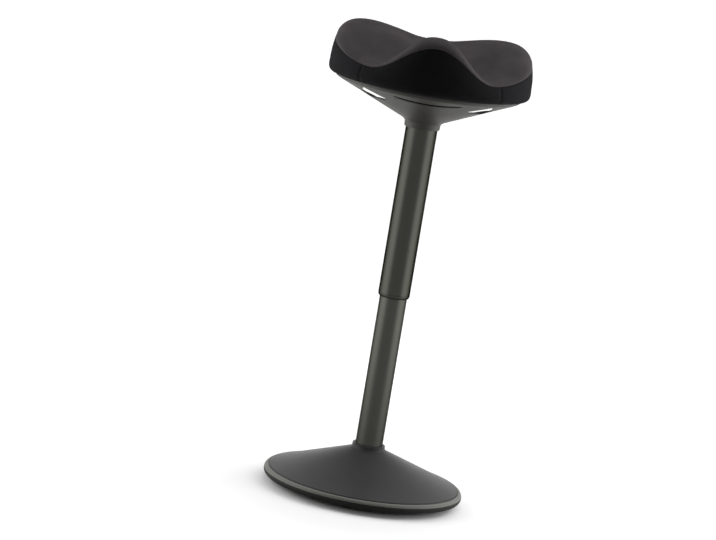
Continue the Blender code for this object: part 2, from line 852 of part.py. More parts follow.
outer_top = [crown_loop(share, 0) for share in crown_shares]
inner_top = [crown_loop(share, COVER_CLOTH) for share in reversed(crown_shares)]
piece(
    "cover_top_panel",
    loft(outer_top + inner_top, Vector((0, 0, centre_top)), Vector((0, 0, centre_top - COVER_CLOTH))),
    CLOTH, seat_body, sharp=60,
)

band_shares = (0.0, 0.16, 0.42, 0.72)


def band_edge(inset):
    """Top of the side band, just under the top panel's seam."""
    drop = inset + GAP
    return [at(angle, outline(angle) - SIDE_DRAW - inset, seam_height(angle) - drop) for angle in angles]


def hem_loop(height):
    return [at(angle, outline(angle) - SIDE_DRAW - HEM_WIDTH, height) for angle in angles]


band_loops = [hem_loop(SEAT_UNDERSIDE)]
band_loops += [side_loop(share, SEAT_UNDERSIDE, 0) for share in band_shares]
band_loops += [band_edge(0), band_edge(COVER_CLOTH)]
band_loops += [
    side_loop(share, SEAT_UNDERSIDE + COVER_CLOTH, COVER_CLOTH) for share in reversed(band_shares)
]
band_loops += [hem_loop(SEAT_UNDERSIDE + COVER_CLOTH)]
piece("cover_side_band", loft(band_loops, closed=True), CLOTH, seat_body, sharp=60)


def board_loop(height):
    return [at(angle, outline(angle) - SIDE_DRAW - COVER_CLOTH - GAP, height) for angle in angles]


board = piece(
    "seat_board",
    loft(
        [board_loop(board_bottom), board_loop(board_top)],
        Vector((0, 0, board_bottom)), Vector((0, 0, board_top)),
    ),
    PLYWOOD, seat_body,
)

# Seat shell: an open sheet from the neck to the lip, with its slots left out, given a wall
neck_radius = SLEEVE_RADIUS + GAP + SHELL_WALL
cone_radius = neck_radius + NECK_FLARE


def cone_point(angle, share):
    rim = outline(angle) - SHELL_INSET
    return at(angle, cone_radius + (rim - cone_radius) * share, cone_bottom + SHELL_RISE * share)


def eased(value, start, stop):
    """0 up to start, 1 from stop, smooth between them."""
    share = min(1.0, max(0.0, (value - start) / (stop - start)))
    return share * share * (3 - 2 * share)


def grip_edges(angle):
    """Edges of a grip opening, a teardrop with its tip in front and its wide end behind."""
    part = (from_front(angle) - radians(GRIP_START)) / radians(GRIP_STOP - GRIP_START)
    corner = GRIP_ROUND * eased(part, 0.9, 1.0)
    waist = GRIP_TIP_INNER + (GRIP_WAIST - GRIP_TIP_INNER) * eased(part, 0.0, 0.35)
    inner = waist + (GRIP_INNER - GRIP_WAIST) * eased(part, 0.4, 0.75)
    outer = GRIP_TIP_OUTER + (GRIP_OUTER - GRIP_TIP_OUTER) * eased(part, 0.0, 0.17)
    return inner + corner, outer - corner


def finger_edges(angle):
    """Edges of the finger slot, narrower at its ends, kept outside the grip openings."""
    off = min(1.0, from_front(angle) / radians(FINGER_HALF_ANGLE))
    half = (FINGER_OUTER - FINGER_INNER) / 2 * (FINGER_END + (1 - FINGER_END) * sqrt(1 - off ** 4))
    middle = (FINGER_INNER + FINGER_OUTER) / 2
    inner = max(middle - half, grip_edges(angle)[1] + ROW_STEP)
    return inner, max(middle + half, inner + ROW_STEP)


shell_rows = [
    [at(angle, neck_radius, neck_bottom) for angle in angles],
    [at(angle, neck_radius + NECK_DRAFT, cone_bottom - NECK_ROLL) for angle in angles],
    [cone_point(angle, 0.0) for angle in angles],
    [cone_point(angle, GRIP_INNER / 2) for angle in angles],
    [cone_point(angle, grip_edges(angle)[0]) for angle in angles],
    [cone_point(angle, grip_edges(angle)[1]) for angle in angles],
    [cone_point(angle, finger_edges(angle)[0]) for angle in angles],
    [cone_point(angle, finger_edges(angle)[1]) for angle in angles],
    [cone_point(angle, 1.0) for angle in angles],
    [at(angle, outline(angle) - SHELL_INSET, shell_lip) for angle in angles],
]
grip_row = 4
finger_row = 6


def in_slot(row, step):
    """Whether the sheet is open in this cell."""
    middle = from_front((step + 0.5) * 2 * pi / FINE)
    if row == grip_row:
        return radians(GRIP_START) < middle < radians(GRIP_STOP)
    return row == finger_row and middle < radians(FINGER_HALF_ANGLE)


sheet = bmesh.new()
sheet_rows = [[sheet.verts.new(point) for point in row] for row in shell_rows]
for row, (lower, upper) in enumerate(zip(sheet_rows, sheet_rows[1:])):
    for step in range(FINE):
        if in_slot(row, step):
            continue
        after = (step + 1) % FINE
        sheet.faces.new((lower[step], lower[after], upper[after], upper[step]))
shell = piece("seat_shell", sheet, SHELL_PLASTIC, seat_body)
wall = shell.modifiers.new("wall", 'SOLIDIFY')
wall.thickness = SHELL_WALL
wall.offset = -1
wall.use_even_offset = True

boss_turns = [BOSS_FRONT, BOSS_REAR, -BOSS_REAR, -BOSS_FRONT]
boss_points = [cone_point(radians(turn), BOSS_SHARE) for turn in boss_turns]
shell_screw_places = [(point.x, point.y) for point in boss_points]
boss_reach = min(point.xy.length for point in boss_points) - cone_radius
boss_slope = SHELL_RISE * BOSS_SHARE / boss_reach
boss_foot = boss_points[0].z + boss_slope * SHELL_BOSS_RADIUS
shell_seat = board_bottom - SHELL_SCREW_SINK
combine(
    shell,
    helper("shell_bosses", rods(SHELL_BOSS_RADIUS, boss_foot, board_bottom - GAP, shell_screw_places)),
    'UNION',
)
drill(shell, SCREW_HEAD_RADIUS + GAP, neck_bottom, shell_seat, shell_screw_places)
drill(shell, SCREW_RADIUS + GAP, neck_bottom, board_bottom, shell_screw_places)
drill(board, SCREW_RADIUS + GAP, neck_bottom, board_bottom + SCREW_BITE, shell_screw_places)
shell_shank = board_bottom + SCREW_BITE - GAP - shell_seat
fasteners(
    "shell_screw",
    headed(SCREW_RADIUS, shell_shank, SCREW_HEAD_RADIUS, SCREW_HEAD_HEIGHT),
    shell_screw_places, shell_seat - GAP, STEEL, seat_body,
)

# Bolts and T-nuts that hold the seat plate to the board
plate_bolt_places = circle_places(PLATE_BOLT_CIRCLE, 4)
t_nut_seat = board_top - T_NUT_FLANGE - GAP
t_nut_bottom = t_nut_seat - T_NUT_LENGTH
drill(seat_plate, BOLT_RADIUS + GAP, dish_bottom, board_top, plate_bolt_places)
drill(board, T_NUT_RADIUS + GAP, dish_bottom, board_top + GAP, plate_bolt_places)
drill(board, T_NUT_FLANGE_RADIUS + GAP, t_nut_seat, board_top + GAP, plate_bolt_places)
fasteners(
    "plate_bolt",
    headed(BOLT_RADIUS, t_nut_seat - flange_under, BOLT_HEAD_RADIUS, BOLT_HEAD_HEIGHT),
    plate_bolt_places, flange_under - GAP, STEEL, seat_body,
)
t_nut_top = t_nut_seat + T_NUT_FLANGE
t_nut_profile = [
    (BOLT_RADIUS + GAP, t_nut_bottom),
    (T_NUT_RADIUS, t_nut_bottom),
    (T_NUT_RADIUS, t_nut_seat + GAP),
    (T_NUT_FLANGE_RADIUS, t_nut_seat + GAP),
    (T_NUT_FLANGE_RADIUS, t_nut_top),
    (BOLT_RADIUS + GAP, t_nut_top),
]
fasteners("t_nut", t_nut_profile, plate_bolt_places, 0, STEEL, seat_body)

# Release: a bracket on the dished plate, a pin, and the lever with its finger paddle
bracket_bottom = dish_top + GAP
bracket_floor = bracket_bottom + BRACKET_WALL
pivot_height = bracket_floor + SLIDE_GAP + LEVER_BARREL
ear_inner = LEVER_WIDTH / 2 + SLIDE_GAP
ear_outer = ear_inner + BRACKET_WALL
bracket_top = pivot_height + LEVER_BARREL
bracket = piece(
    "lever_bracket",
    block(
        (-ear_outer, PIVOT_Y - BRACKET_LENGTH / 2, bracket_bottom),
        (ear_outer, PIVOT_Y + BRACKET_LENGTH / 2, bracket_top),
    ),
    STEEL, seat_body,
)
combine(
    bracket,
    helper(
        "bracket_channel",
        block(
            (-ear_inner, PIVOT_Y - BRACKET_LENGTH, bracket_floor),
            (ear_inner, PIVOT_Y + BRACKET_LENGTH, bracket_top + GAP),
        ),
    ),
    'DIFFERENCE',
)


def cross_rod(radius, half_length, segments=COARSE):
    """A cylinder along X about the origin."""
    shape = bmesh.new()
    bmesh.ops.create_cone(
        shape, cap_ends=True, segments=segments, radius1=radius, radius2=radius,
        depth=2 * half_length, matrix=Matrix.Rotation(pi / 2, 4, 'Y'),
    )
    return shape


pivot = (0, PIVOT_Y, pivot_height)
pin_half = ear_outer + PIN_END
pin_cut = helper("bracket_pin_hole", cross_rod(PIVOT_PIN_RADIUS + GAP, pin_half + GAP))
pin_cut.location = pivot
combine(bracket, pin_cut, 'DIFFERENCE')
piece("pivot_pin", cross_rod(PIVOT_PIN_RADIUS, pin_half), STEEL, seat_body, pivot)

lever_body = axis_empty("paddle_axis", pivot, seat_body)


def paddle_plan():
    """The lever's outline round the pivot: a straight bar that widens to a curved paddle."""
    half = LEVER_WIDTH / 2
    sweep = [radians(PADDLE_HALF_ANGLE * (1 - step / 5)) for step in range(11)]
    outer = [
        Vector((PADDLE_REACH * sin(turn), -PADDLE_REACH * cos(turn) - PIVOT_Y, 0)) for turn in sweep
    ]
    back = PADDLE_REACH - PADDLE_DEPTH
    shoulder = asin(half / back) + radians(PADDLE_SHOULDER)
    ends = [radians(PADDLE_HALF_ANGLE), shoulder]
    right = [Vector((back * sin(turn), -back * cos(turn) - PIVOT_Y, 0)) for turn in ends]
    left = [Vector((-point.x, point.y, 0)) for point in reversed(right)]
    neck = -back * cos(shoulder) - PIVOT_Y + PADDLE_NECK
    tip = LEVER_TIP - PIVOT_Y
    corners = [(half, neck), (half, tip), (-half, tip), (-half, neck)]
    bar = [Vector((x, y, 0)) for x, y in corners]
    return right + bar + left + outer[::-1]


lever = bmesh.new()
plan = [lever.verts.new(point - Vector((0, 0, LEVER_THICKNESS / 2))) for point in paddle_plan()]
lever_face = lever.faces.new(plan)
raised = bmesh.ops.extrude_face_region(lever, geom=[lever_face])
top_points = [item for item in raised["geom"] if isinstance(item, bmesh.types.BMVert)]
bmesh.ops.translate(lever, verts=top_points, vec=(0, 0, LEVER_THICKNESS))
paddle = piece("release_paddle", lever, SHELL_PLASTIC, lever_body)
for tool, operation in (
    (helper("lever_barrel", cross_rod(LEVER_BARREL, LEVER_WIDTH / 2)), 'UNION'),
    (helper("lever_bore", cross_rod(PIVOT_PIN_RADIUS + SLIDE_GAP, LEVER_WIDTH)), 'DIFFERENCE'),
):
    tool.location = pivot
    combine(paddle, tool, operation)

valve_body = axis_empty("valve_axis", parent=seat_body)
valve_top = pivot_height - LEVER_THICKNESS / 2 - GAP
piece(
    "valve_pin",
    turned(
        [
            (0, valve_top - VALVE_LENGTH),
            (VALVE_RADIUS, valve_top - VALVE_LENGTH),
            (VALVE_RADIUS, valve_top),
            (0, valve_top),
        ],
        COARSE,
    ),
    STEEL, valve_body,
)
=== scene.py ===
from math import atan2, cos, exp, pi, radians, sin, sqrt, tau

import bmesh
import bpy
from mathutils import Matrix, Vector


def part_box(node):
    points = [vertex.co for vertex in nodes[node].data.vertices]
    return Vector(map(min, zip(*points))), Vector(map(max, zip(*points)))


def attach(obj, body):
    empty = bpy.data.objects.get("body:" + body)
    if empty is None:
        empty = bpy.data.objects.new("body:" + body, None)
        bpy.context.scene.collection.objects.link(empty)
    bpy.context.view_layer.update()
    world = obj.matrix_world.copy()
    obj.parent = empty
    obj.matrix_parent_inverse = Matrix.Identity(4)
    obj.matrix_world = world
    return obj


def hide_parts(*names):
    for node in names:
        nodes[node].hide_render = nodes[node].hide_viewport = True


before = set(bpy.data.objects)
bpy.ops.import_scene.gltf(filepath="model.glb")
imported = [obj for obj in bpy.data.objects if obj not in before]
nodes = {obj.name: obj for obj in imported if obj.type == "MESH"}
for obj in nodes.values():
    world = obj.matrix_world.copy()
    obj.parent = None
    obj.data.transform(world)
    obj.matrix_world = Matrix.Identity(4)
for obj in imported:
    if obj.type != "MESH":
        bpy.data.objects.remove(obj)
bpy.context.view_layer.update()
scene = bpy.context.scene
scene.view_settings.view_transform = 'Standard'


# Studio
# A white floor with a soft shade under the base: its real shadow, deepened by painted shade and a
# painted shadow where the floor's glow is cut back. It is lit by a wide lamp overhead and a tall
# panel at each side. A strip beside each panel only shows as a streak of light on what is shiny.
# The long lens in front is rolled, so that the upright stool leans in the picture.
IMAGE_WIDTH = 716
FOCAL_PIXELS = 4088.1
SENSOR = 36.0
CAMERA_PLACE = (-0.1883, -7.2837, 1.7665)
CAMERA_YAW = 0.919
CAMERA_PITCH = 10.577
CAMERA_ROLL = 9.391
FAR_CLIP = 200.0
WHITE = (1.0, 1.0, 1.0, 1.0)
FLOOR_SIZE = 40.0
FLOOR_COLOUR = (0.75, 0.75, 0.75, 1.0)
FLOOR_BOUNCE = (0.30, 0.30, 0.30, 1.0)
FLOOR_LIFT = (0.20, 0.56)
FLOOR_LIFT_REACH = (0.3, 1.1)
# A ring round the rim and a patch to the front-left take the floor's glow away: painted shade and a
# painted shadow.
PAINTED_CONTACT_SHADE_REACH = (0.143, 0.172)
PAINTED_SHADOW_CENTRE = (-0.035, -0.055, 0.0)
PAINTED_SHADOW_REACH = (0.17, 0.36)
PAINTED_SHADOW_LEVEL = 0.4
FILL_LEVEL = 0.10
BACKDROP_TOP = (0.44, 0.70)
CEILING_LEVEL = 0.08
OVERHEAD_LEVEL = 2.35
OVERHEAD_SPREAD = 70.0
OVERHEAD_PLACE = (0.25, 0.45, 0.86)
SIDE_DISTANCE = 0.9
SIDE_HEIGHT = 0.74
SIDE_TALL = 1.5
SIDE_LAMPS = (
    {"kind": "panel", "angle": 93.0, "width": 0.95, "power": 13.0, "lights_all": True},
    {"kind": "strip", "angle": 58.5, "width": 0.21, "power": 2.4, "lights_all": False},
)


def put(tree, kind, inputs=(), **settings):
    """Adds a shader node. An input is linked where a socket is given, and otherwise set."""
    made = tree.nodes.new("ShaderNode" + kind)
    for name, value in settings.items():
        setattr(made, name, value)
    for name, value in dict(inputs).items():
        if isinstance(value, bpy.types.NodeSocket):
            tree.links.new(value, made.inputs[name])
        else:
            made.inputs[name].default_value = value
    return made


def maths(tree, operation, *values):
    """The result of a Math node on sockets and numbers."""
    return put(tree, "Math", dict(enumerate(values)), operation=operation).outputs[0]


def ramp(tree, value, reach, levels=(0.0, 1.0), interpolation='SMOOTHSTEP'):
    """A value's way from one level to another over its reach."""
    return put(tree, "MapRange", {
        "Value": value, "From Min": reach[0], "From Max": reach[1],
        "To Min": levels[0], "To Max": levels[1],
    }, interpolation_type=interpolation).outputs[0]


def seen_directly(tree):
    """1 for what the camera sees straight on, mirrored in a piece or through it."""
    path = put(tree, "LightPath").outputs
    mirrored = maths(tree, 'MAXIMUM', path["Is Camera Ray"], path["Is Glossy Ray"])
    return maths(tree, 'MAXIMUM', mirrored, path["Is Transmission Ray"])


def lamp(name, kind, power, place, aim, **settings):
    """Hangs a lamp at a place and points it at its aim, out of the camera's sight."""
    light = bpy.data.lights.new(name, kind)
    light.energy = power
    for setting, value in settings.items():
        setattr(light, setting, value)
    stand = bpy.data.objects.new(name, light)
    turn = (Vector(aim) - Vector(place)).to_track_quat('-Z', 'Y')
    stand.matrix_world = Matrix.Translation(place) @ turn.to_matrix().to_4x4()
    stand.visible_camera = False
    scene.collection.objects.link(stand)
    return stand


lens = bpy.data.cameras.new("front_camera")
lens.sensor_width = SENSOR
lens.lens = FOCAL_PIXELS / IMAGE_WIDTH * SENSOR
lens.clip_end = FAR_CLIP
camera = bpy.data.objects.new("front_camera", lens)
camera.matrix_world = (
    Matrix.Translation(CAMERA_PLACE)
    @ Matrix.Rotation(radians(-CAMERA_YAW), 4, 'Z')
    @ Matrix.Rotation(radians(90 - CAMERA_PITCH), 4, 'X')
    @ Matrix.Rotation(radians(CAMERA_ROLL), 4, 'Z')
)
scene.collection.objects.link(camera)
scene.camera = camera

world = bpy.data.worlds.new("studio_white")
world.use_nodes = True
scene.world = world
sky = world.node_tree
direction = put(sky, "TexCoord").outputs["Generated"]
upwards = put(sky, "SeparateXYZ", {0: direction}).outputs["Z"]
backdrop = ramp(sky, upwards, BACKDROP_TOP, (1.0, CEILING_LEVEL))
sky_level = maths(sky, 'MULTIPLY_ADD', seen_directly(sky), 1 - FILL_LEVEL, FILL_LEVEL)
sky_strength = maths(sky, 'MULTIPLY', sky_level, backdrop)
sky_light = put(sky, "Background", {"Color": WHITE, "Strength": sky_strength})
sky.links.new(sky_light.outputs[0], sky.nodes["World Output"].inputs["Surface"])

overhead = lamp(
    "overhead", 'SUN', OVERHEAD_LEVEL, OVERHEAD_PLACE, (0, 0, 0), angle=radians(OVERHEAD_SPREAD)
)
overhead.visible_glossy = False
for side, hand in ((-1, "left"), (1, "right")):
    for row in SIDE_LAMPS:
        turn = radians(row["angle"])
        place = (side * SIDE_DISTANCE * sin(turn), -SIDE_DISTANCE * cos(turn), SIDE_HEIGHT)
        box = lamp(
            f"{hand}_{row['kind']}", 'AREA', row["power"], place, (0, 0, SIDE_HEIGHT),
            shape='RECTANGLE', size=row["width"], size_y=SIDE_TALL,
        )
        box.visible_diffuse = row["lights_all"]

floor_mesh = bpy.data.meshes.new("studio_floor")
floor_shape = bmesh.new()
bmesh.ops.create_grid(floor_shape, x_segments=1, y_segments=1, size=FLOOR_SIZE)
floor_shape.to_mesh(floor_mesh)
floor_shape.free()
floor_paint = bpy.data.materials.new("white_floor")
floor_paint.use_nodes = True
paint = floor_paint.node_tree
seen = seen_directly(paint)
shade = put(paint, "MixRGB", {0: seen, 1: FLOOR_BOUNCE, 2: FLOOR_COLOUR})
matt = put(paint, "BsdfDiffuse", {"Color": shade.outputs[0]})
spot = put(paint, "TexCoord").outputs["Object"]
reach = put(paint, "VectorMath", {0: spot}, operation='LENGTH').outputs["Value"]
off_painted_shadow = put(
    paint, "VectorMath", {0: spot, 1: PAINTED_SHADOW_CENTRE}, operation='DISTANCE'
).outputs["Value"]
# Painted shade and shadow: the glow is taken away round the rim and in a front-left patch, over the
# real shadow.
lift = ramp(paint, reach, FLOOR_LIFT_REACH, FLOOR_LIFT)
painted_contact_shade = ramp(paint, reach, PAINTED_CONTACT_SHADE_REACH)
painted_shadow = ramp(paint, off_painted_shadow, PAINTED_SHADOW_REACH, (PAINTED_SHADOW_LEVEL, 1.0))
lifted = maths(paint, 'MULTIPLY', maths(paint, 'MULTIPLY', lift, painted_contact_shade), painted_shadow)
glow = put(paint, "Emission", {"Strength": maths(paint, 'MULTIPLY', seen, lifted)})
both = put(paint, "AddShader", {0: matt.outputs[0], 1: glow.outputs[0]})
paint.links.new(both.outputs[0], paint.nodes["Material Output"].inputs["Surface"])
floor_mesh.materials.append(floor_paint)
floor = bpy.data.objects.new("studio_floor", floor_mesh)
scene.collection.objects.link(floor)


# Rocker sole
# A disc of black rubber, flat in the middle and curved up to its edge, so that the stool rocks.
# It is moulded in one piece with a fine pebbled tread and glued under the base pan.
SOLE_COLOUR = (0.012, 0.012, 0.012, 1)
SOLE_THICKNESS = 0.004
SOLE_FLAT = 0.055
ROCKER_RADIUS = 0.70
SOLE_EDGE = 0.0012
SOLE_EDGE_START = -60.0
EDGE_FACETS = 4
TREAD_STEPS = 16
TURN_FACETS = 192
SHARP_ANGLE = 38.0
MERGE_DISTANCE = 1e-6
GRAIN_DETAIL = 3.0
GRAIN_CLOUDS = 16.0
GRAIN_CELLS = 0.6
GRAIN_DRIFT = 0.14
SURFACE_INPUTS = (
    ("Colour", "Color"), ("Roughness", "Float"), ("Scale", "Float"), ("Mottle", "Float"),
)
SURFACE_OUTPUTS = (("Colour", "Color"), ("Roughness", "Float"), ("Height", "Float"))
sole_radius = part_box("rocker_sole")[1].x


def surface(name):
    """An empty shader group for a surface, and the two ends that its nodes are wired between."""
    group = bpy.data.node_groups.new(name, 'ShaderNodeTree')
    for label, kind in SURFACE_INPUTS:
        group.interface.new_socket(label, in_out='INPUT', socket_type='NodeSocket' + kind)
    for label, kind in SURFACE_OUTPUTS:
        group.interface.new_socket(label, in_out='OUTPUT', socket_type='NodeSocket' + kind)
    given = group.nodes.new('NodeGroupInput').outputs
    result = group.nodes.new('NodeGroupOutput').inputs
    return group, given, result


def noise(tree, vector, scale, detail):
    """The level of a noise texture."""
    return put(tree, "TexNoise", {"Vector": vector, "Scale": scale, "Detail": detail}).outputs[0]


def scaled(tree, vector, by):
    """A vector or colour times a number."""
    return put(tree, "VectorMath", {0: vector, "Scale": by}, operation='SCALE').outputs[0]


def surfaced(group, given, result, shade, drift, spread, height):
    """Wires a surface's ends: its colour by a shade, its roughness by a drift, and its height."""
    tone = scaled(group, given["Colour"], shade)
    rough = maths(group, 'MULTIPLY_ADD', drift, spread, given["Roughness"])
    for value, label in ((tone, "Colour"), (rough, "Roughness"), (height, "Height")):
        group.links.new(value, result[label])
    return group


def moulded_grain_effect():
    """Fine spark-eroded grain with faint clouds, as on moulded plastic, rubber and powder coat."""
    group, given, result = surface("moulded_grain")
    place = put(group, "TexCoord").outputs["Object"]
    pores = noise(group, place, given["Scale"], GRAIN_DETAIL)
    cells = put(group, "TexVoronoi", {"Vector": place, "Scale": given["Scale"]}).outputs["Distance"]
    clouds = noise(group, place, GRAIN_CLOUDS, GRAIN_DETAIL)
    drift = maths(group, 'SUBTRACT', maths(group, 'ADD', clouds, pores), 1.0)
    shade = maths(group, 'MULTIPLY_ADD', drift, given["Mottle"], 1.0)
    height = maths(group, 'MULTIPLY_ADD', cells, GRAIN_CELLS, pores)
    return surfaced(group, given, result, shade, drift, GRAIN_DRIFT, height)


def finish(name, group, given, relief, constants=()):
    """A Principled finish fed by a group, with the values that don't change set on the shader."""
    material = bpy.data.materials.new(name)
    material.use_nodes = True
    tree = material.node_tree
    shader = tree.nodes["Principled BSDF"]
    made = put(tree, "Group", given, node_tree=group).outputs
    bump = put(tree, "Bump", {"Height": made["Height"], "Distance": relief})
    tree.links.new(made["Colour"], shader.inputs["Base Color"])
    tree.links.new(made["Roughness"], shader.inputs["Roughness"])
    tree.links.new(bump.outputs[0], shader.inputs["Normal"])
    for socket, value in dict(constants).items():
        shader.inputs[socket].default_value = value
    return material


def turned(profile, closed=True):
    """Spins a profile of (radius, height) points once round the column's axis."""
    shape = bmesh.new()
    points = [shape.verts.new((radius, 0, height)) for radius, height in profile]
    pairs = zip(points, points[1:] + points[:1] if closed else points[1:])
    line = [shape.edges.new(pair) for pair in pairs]
    bmesh.ops.spin(
        shape, geom=points + line, cent=(0, 0, 0), axis=(0, 0, 1), angle=tau,
        steps=TURN_FACETS, use_merge=True,
    )
    bmesh.ops.remove_doubles(shape, verts=shape.verts, dist=MERGE_DISTANCE)
    bmesh.ops.recalc_face_normals(shape, faces=shape.faces)
    return shape


def piece(name, shape, body, slot, *finishes):
    """Makes a finished bmesh an object at the origin that rides on its body."""
    mesh = bpy.data.meshes.new(name)
    shape.to_mesh(mesh)
    shape.free()
    mesh.shade_smooth()
    mesh.set_sharp_from_angle(angle=radians(SHARP_ANGLE))
    for material in finishes:
        mesh.materials.append(material)
    made = bpy.data.objects.new(name, mesh)
    scene.collection.objects.link(made)
    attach(made, body)
    return made


def arc(centre, radii, start, stop, steps=8):
    """Profile points on part of an ellipse, with angles in degrees from straight outwards."""
    turns = [radians(start + (stop - start) * step / steps) for step in range(steps + 1)]
    return [(centre[0] + radii[0] * cos(turn), centre[1] + radii[1] * sin(turn)) for turn in turns]


def tread(radius):
    """Height of the sole above the floor."""
    return ROCKER_RADIUS - sqrt(ROCKER_RADIUS ** 2 - max(0.0, radius - SOLE_FLAT) ** 2)


moulded_grain = moulded_grain_effect()
sole_rubber = finish(
    "black_sole_rubber", moulded_grain,
    {"Colour": SOLE_COLOUR, "Roughness": 0.75, "Scale": 420.0, "Mottle": 0.3},
    relief=0.0006, constants={"Specular IOR Level": 0.1},
)
edge_start = sole_radius - SOLE_EDGE
edge_height = tread(sole_radius)
edge_round = (SOLE_EDGE, SOLE_EDGE)
tread_radii = [
    SOLE_FLAT + (edge_start - SOLE_FLAT) * step / TREAD_STEPS for step in range(TREAD_STEPS + 1)
]
sole_profile = [(0, 0)] + [(radius, tread(radius)) for radius in tread_radii]
sole_profile += arc(
    (edge_start, edge_height + SOLE_EDGE), edge_round, SOLE_EDGE_START, 0, EDGE_FACETS
)
sole_profile += arc(
    (edge_start, edge_height + SOLE_THICKNESS - SOLE_EDGE), edge_round, 0, 90, EDGE_FACETS
)
sole_profile += [(radius, tread(radius) + SOLE_THICKNESS) for radius in tread_radii[-2::-1]]
sole_profile += [(0, SOLE_THICKNESS)]
sole = piece("sole", turned(sole_profile, closed=False), "base", "sole_rubber", sole_rubber)
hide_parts("rocker_sole")


# Base pan, ballast and column foot
# A moulded pan carries a cast iron plate, and a steel hub is bolted through both to hold the tube.
# All of them are shut in between the sole and the cover.
STEEL_COLOUR = (0.55, 0.55, 0.56, 1)
IRON_COLOUR = (0.06, 0.06, 0.06, 1)
PAN_COLOUR = (0.03, 0.03, 0.03, 1)
STREAK_PULL = (1.0, 1.0, 0.06)
STREAK_DETAIL = 4.0
STEEL_CLOUDS = 60.0
STEEL_CLOUD_DETAIL = 2.0
STEEL_DRIFT = 0.2


def dress(material, *names):
    """Gives CAD nodes a finish in their own material slots."""
    for name in names:
        mesh = nodes[name].data
        mesh.materials.clear()
        mesh.materials.append(material)


def plated_effect():
    """Fine brushed streaks and faint clouding of plated or ground metal."""
    group, given, result = surface("plated_metal")
    place = put(group, "TexCoord").outputs["Object"]
    pulled = put(group, "Mapping", {"Vector": place, "Scale": STREAK_PULL}).outputs[0]
    streaks = noise(group, pulled, given["Scale"], STREAK_DETAIL)
    clouds = noise(group, place, STEEL_CLOUDS, STEEL_CLOUD_DETAIL)
    drift = maths(group, 'SUBTRACT', maths(group, 'ADD', streaks, clouds), 1.0)
    shade = maths(group, 'MULTIPLY_ADD', drift, given["Mottle"], 1.0)
    return surfaced(group, given, result, shade, drift, STEEL_DRIFT, streaks)


def numbered(name, count=4):
    """The names of a set of like nodes."""
    return [f"{name}_{number}" for number in range(1, count + 1)]


plated_metal = plated_effect()
bright_steel = finish(
    "zinc_plated_steel", plated_metal,
    {"Colour": STEEL_COLOUR, "Roughness": 0.36, "Scale": 900.0, "Mottle": 0.25},
    relief=0.00005, constants={"Metallic": 1.0},
)
cast_iron = finish(
    "cast_iron", moulded_grain,
    {"Colour": IRON_COLOUR, "Roughness": 0.7, "Scale": 260.0, "Mottle": 0.5},
    relief=0.0012, constants={"Metallic": 0.6},
)
pan_plastic = finish(
    "pan_plastic", moulded_grain,
    {"Colour": PAN_COLOUR, "Roughness": 0.6, "Scale": 800.0, "Mottle": 0.2},
    relief=0.0002,
)
dress(pan_plastic, "base_pan")
dress(cast_iron, "ballast_plate")
dress(bright_steel, "column_hub", *numbered("hub_bolt"), *numbered("cover_screw"))


# Base cover
# A thin cone moulded in charcoal plastic with a fine matt grain and a short collar at the tube.
# Screws from below hold it to the pan.
COVER_COLOUR = (0.046, 0.046, 0.047, 1)
COVER_SLOPE = 0.388
COVER_WALL = 0.003
SEAM_HEIGHT = 0.027
EDGE_ROLL = 0.006
ROLL_DROP = 0.00075
COLLAR_WALL = 0.0047
COLLAR_HEIGHT = 0.0085
COLLAR_FILLET = 0.0054
COLLAR_ROUND = 0.0012
COLLAR_FACETS = 5
PAN_STEP = 0.004
TUBE_GAP = 0.0003
cover_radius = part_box("base_cover")[1].x
collar_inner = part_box("lower_tube")[1].x + TUBE_GAP
collar_outer = collar_inner + COLLAR_WALL


def cover_height(radius):
    """Height of the cover's outer face at a radius."""
    return SEAM_HEIGHT + COVER_SLOPE * (cover_radius - radius)


def bend(start, corner, stop, steps=6):
    """Profile points on a smooth bend that is drawn towards its corner."""
    shares = [step / steps for step in range(steps + 1)]
    return [
        tuple(
            (1 - share) ** 2 * first + 2 * share * (1 - share) * middle + share ** 2 * last
            for first, middle, last in zip(start, corner, stop)
        )
        for share in shares
    ]


cover_plastic = finish(
    "charcoal_cover_plastic", moulded_grain,
    {"Colour": COVER_COLOUR, "Roughness": 0.31, "Scale": 1100.0, "Mottle": 0.12},
    relief=0.00012, constants={"Specular IOR Level": 0.05},
)
cover_drop = COVER_WALL * sqrt(1 + COVER_SLOPE ** 2)
collar_top = cover_height(collar_outer) + COLLAR_HEIGHT
roll_start = cover_radius - EDGE_ROLL
fillet_start = collar_outer + COLLAR_FILLET
cover_profile = [(cover_radius, SEAM_HEIGHT - cover_drop)]
cover_profile += bend(
    (cover_radius, SEAM_HEIGHT - ROLL_DROP),
    (cover_radius, cover_height(roll_start - ROLL_DROP) - ROLL_DROP),
    (roll_start, cover_height(roll_start)),
)
cover_profile += bend(
    (fillet_start, cover_height(fillet_start)),
    (collar_outer, cover_height(collar_outer)),
    (collar_outer, cover_height(collar_outer) + COLLAR_FILLET),
)
cover_profile += arc(
    (collar_outer - COLLAR_ROUND, collar_top - COLLAR_ROUND), (COLLAR_ROUND, COLLAR_ROUND),
    0, 90, COLLAR_FACETS,
)
cover_profile += [
    (collar_inner, collar_top),
    (collar_inner, cover_height(collar_inner) - cover_drop),
    (cover_radius - PAN_STEP, cover_height(cover_radius - PAN_STEP) - cover_drop),
]
cover = piece("cover", turned(cover_profile), "base", "base_plastic", cover_plastic)
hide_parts("base_cover")
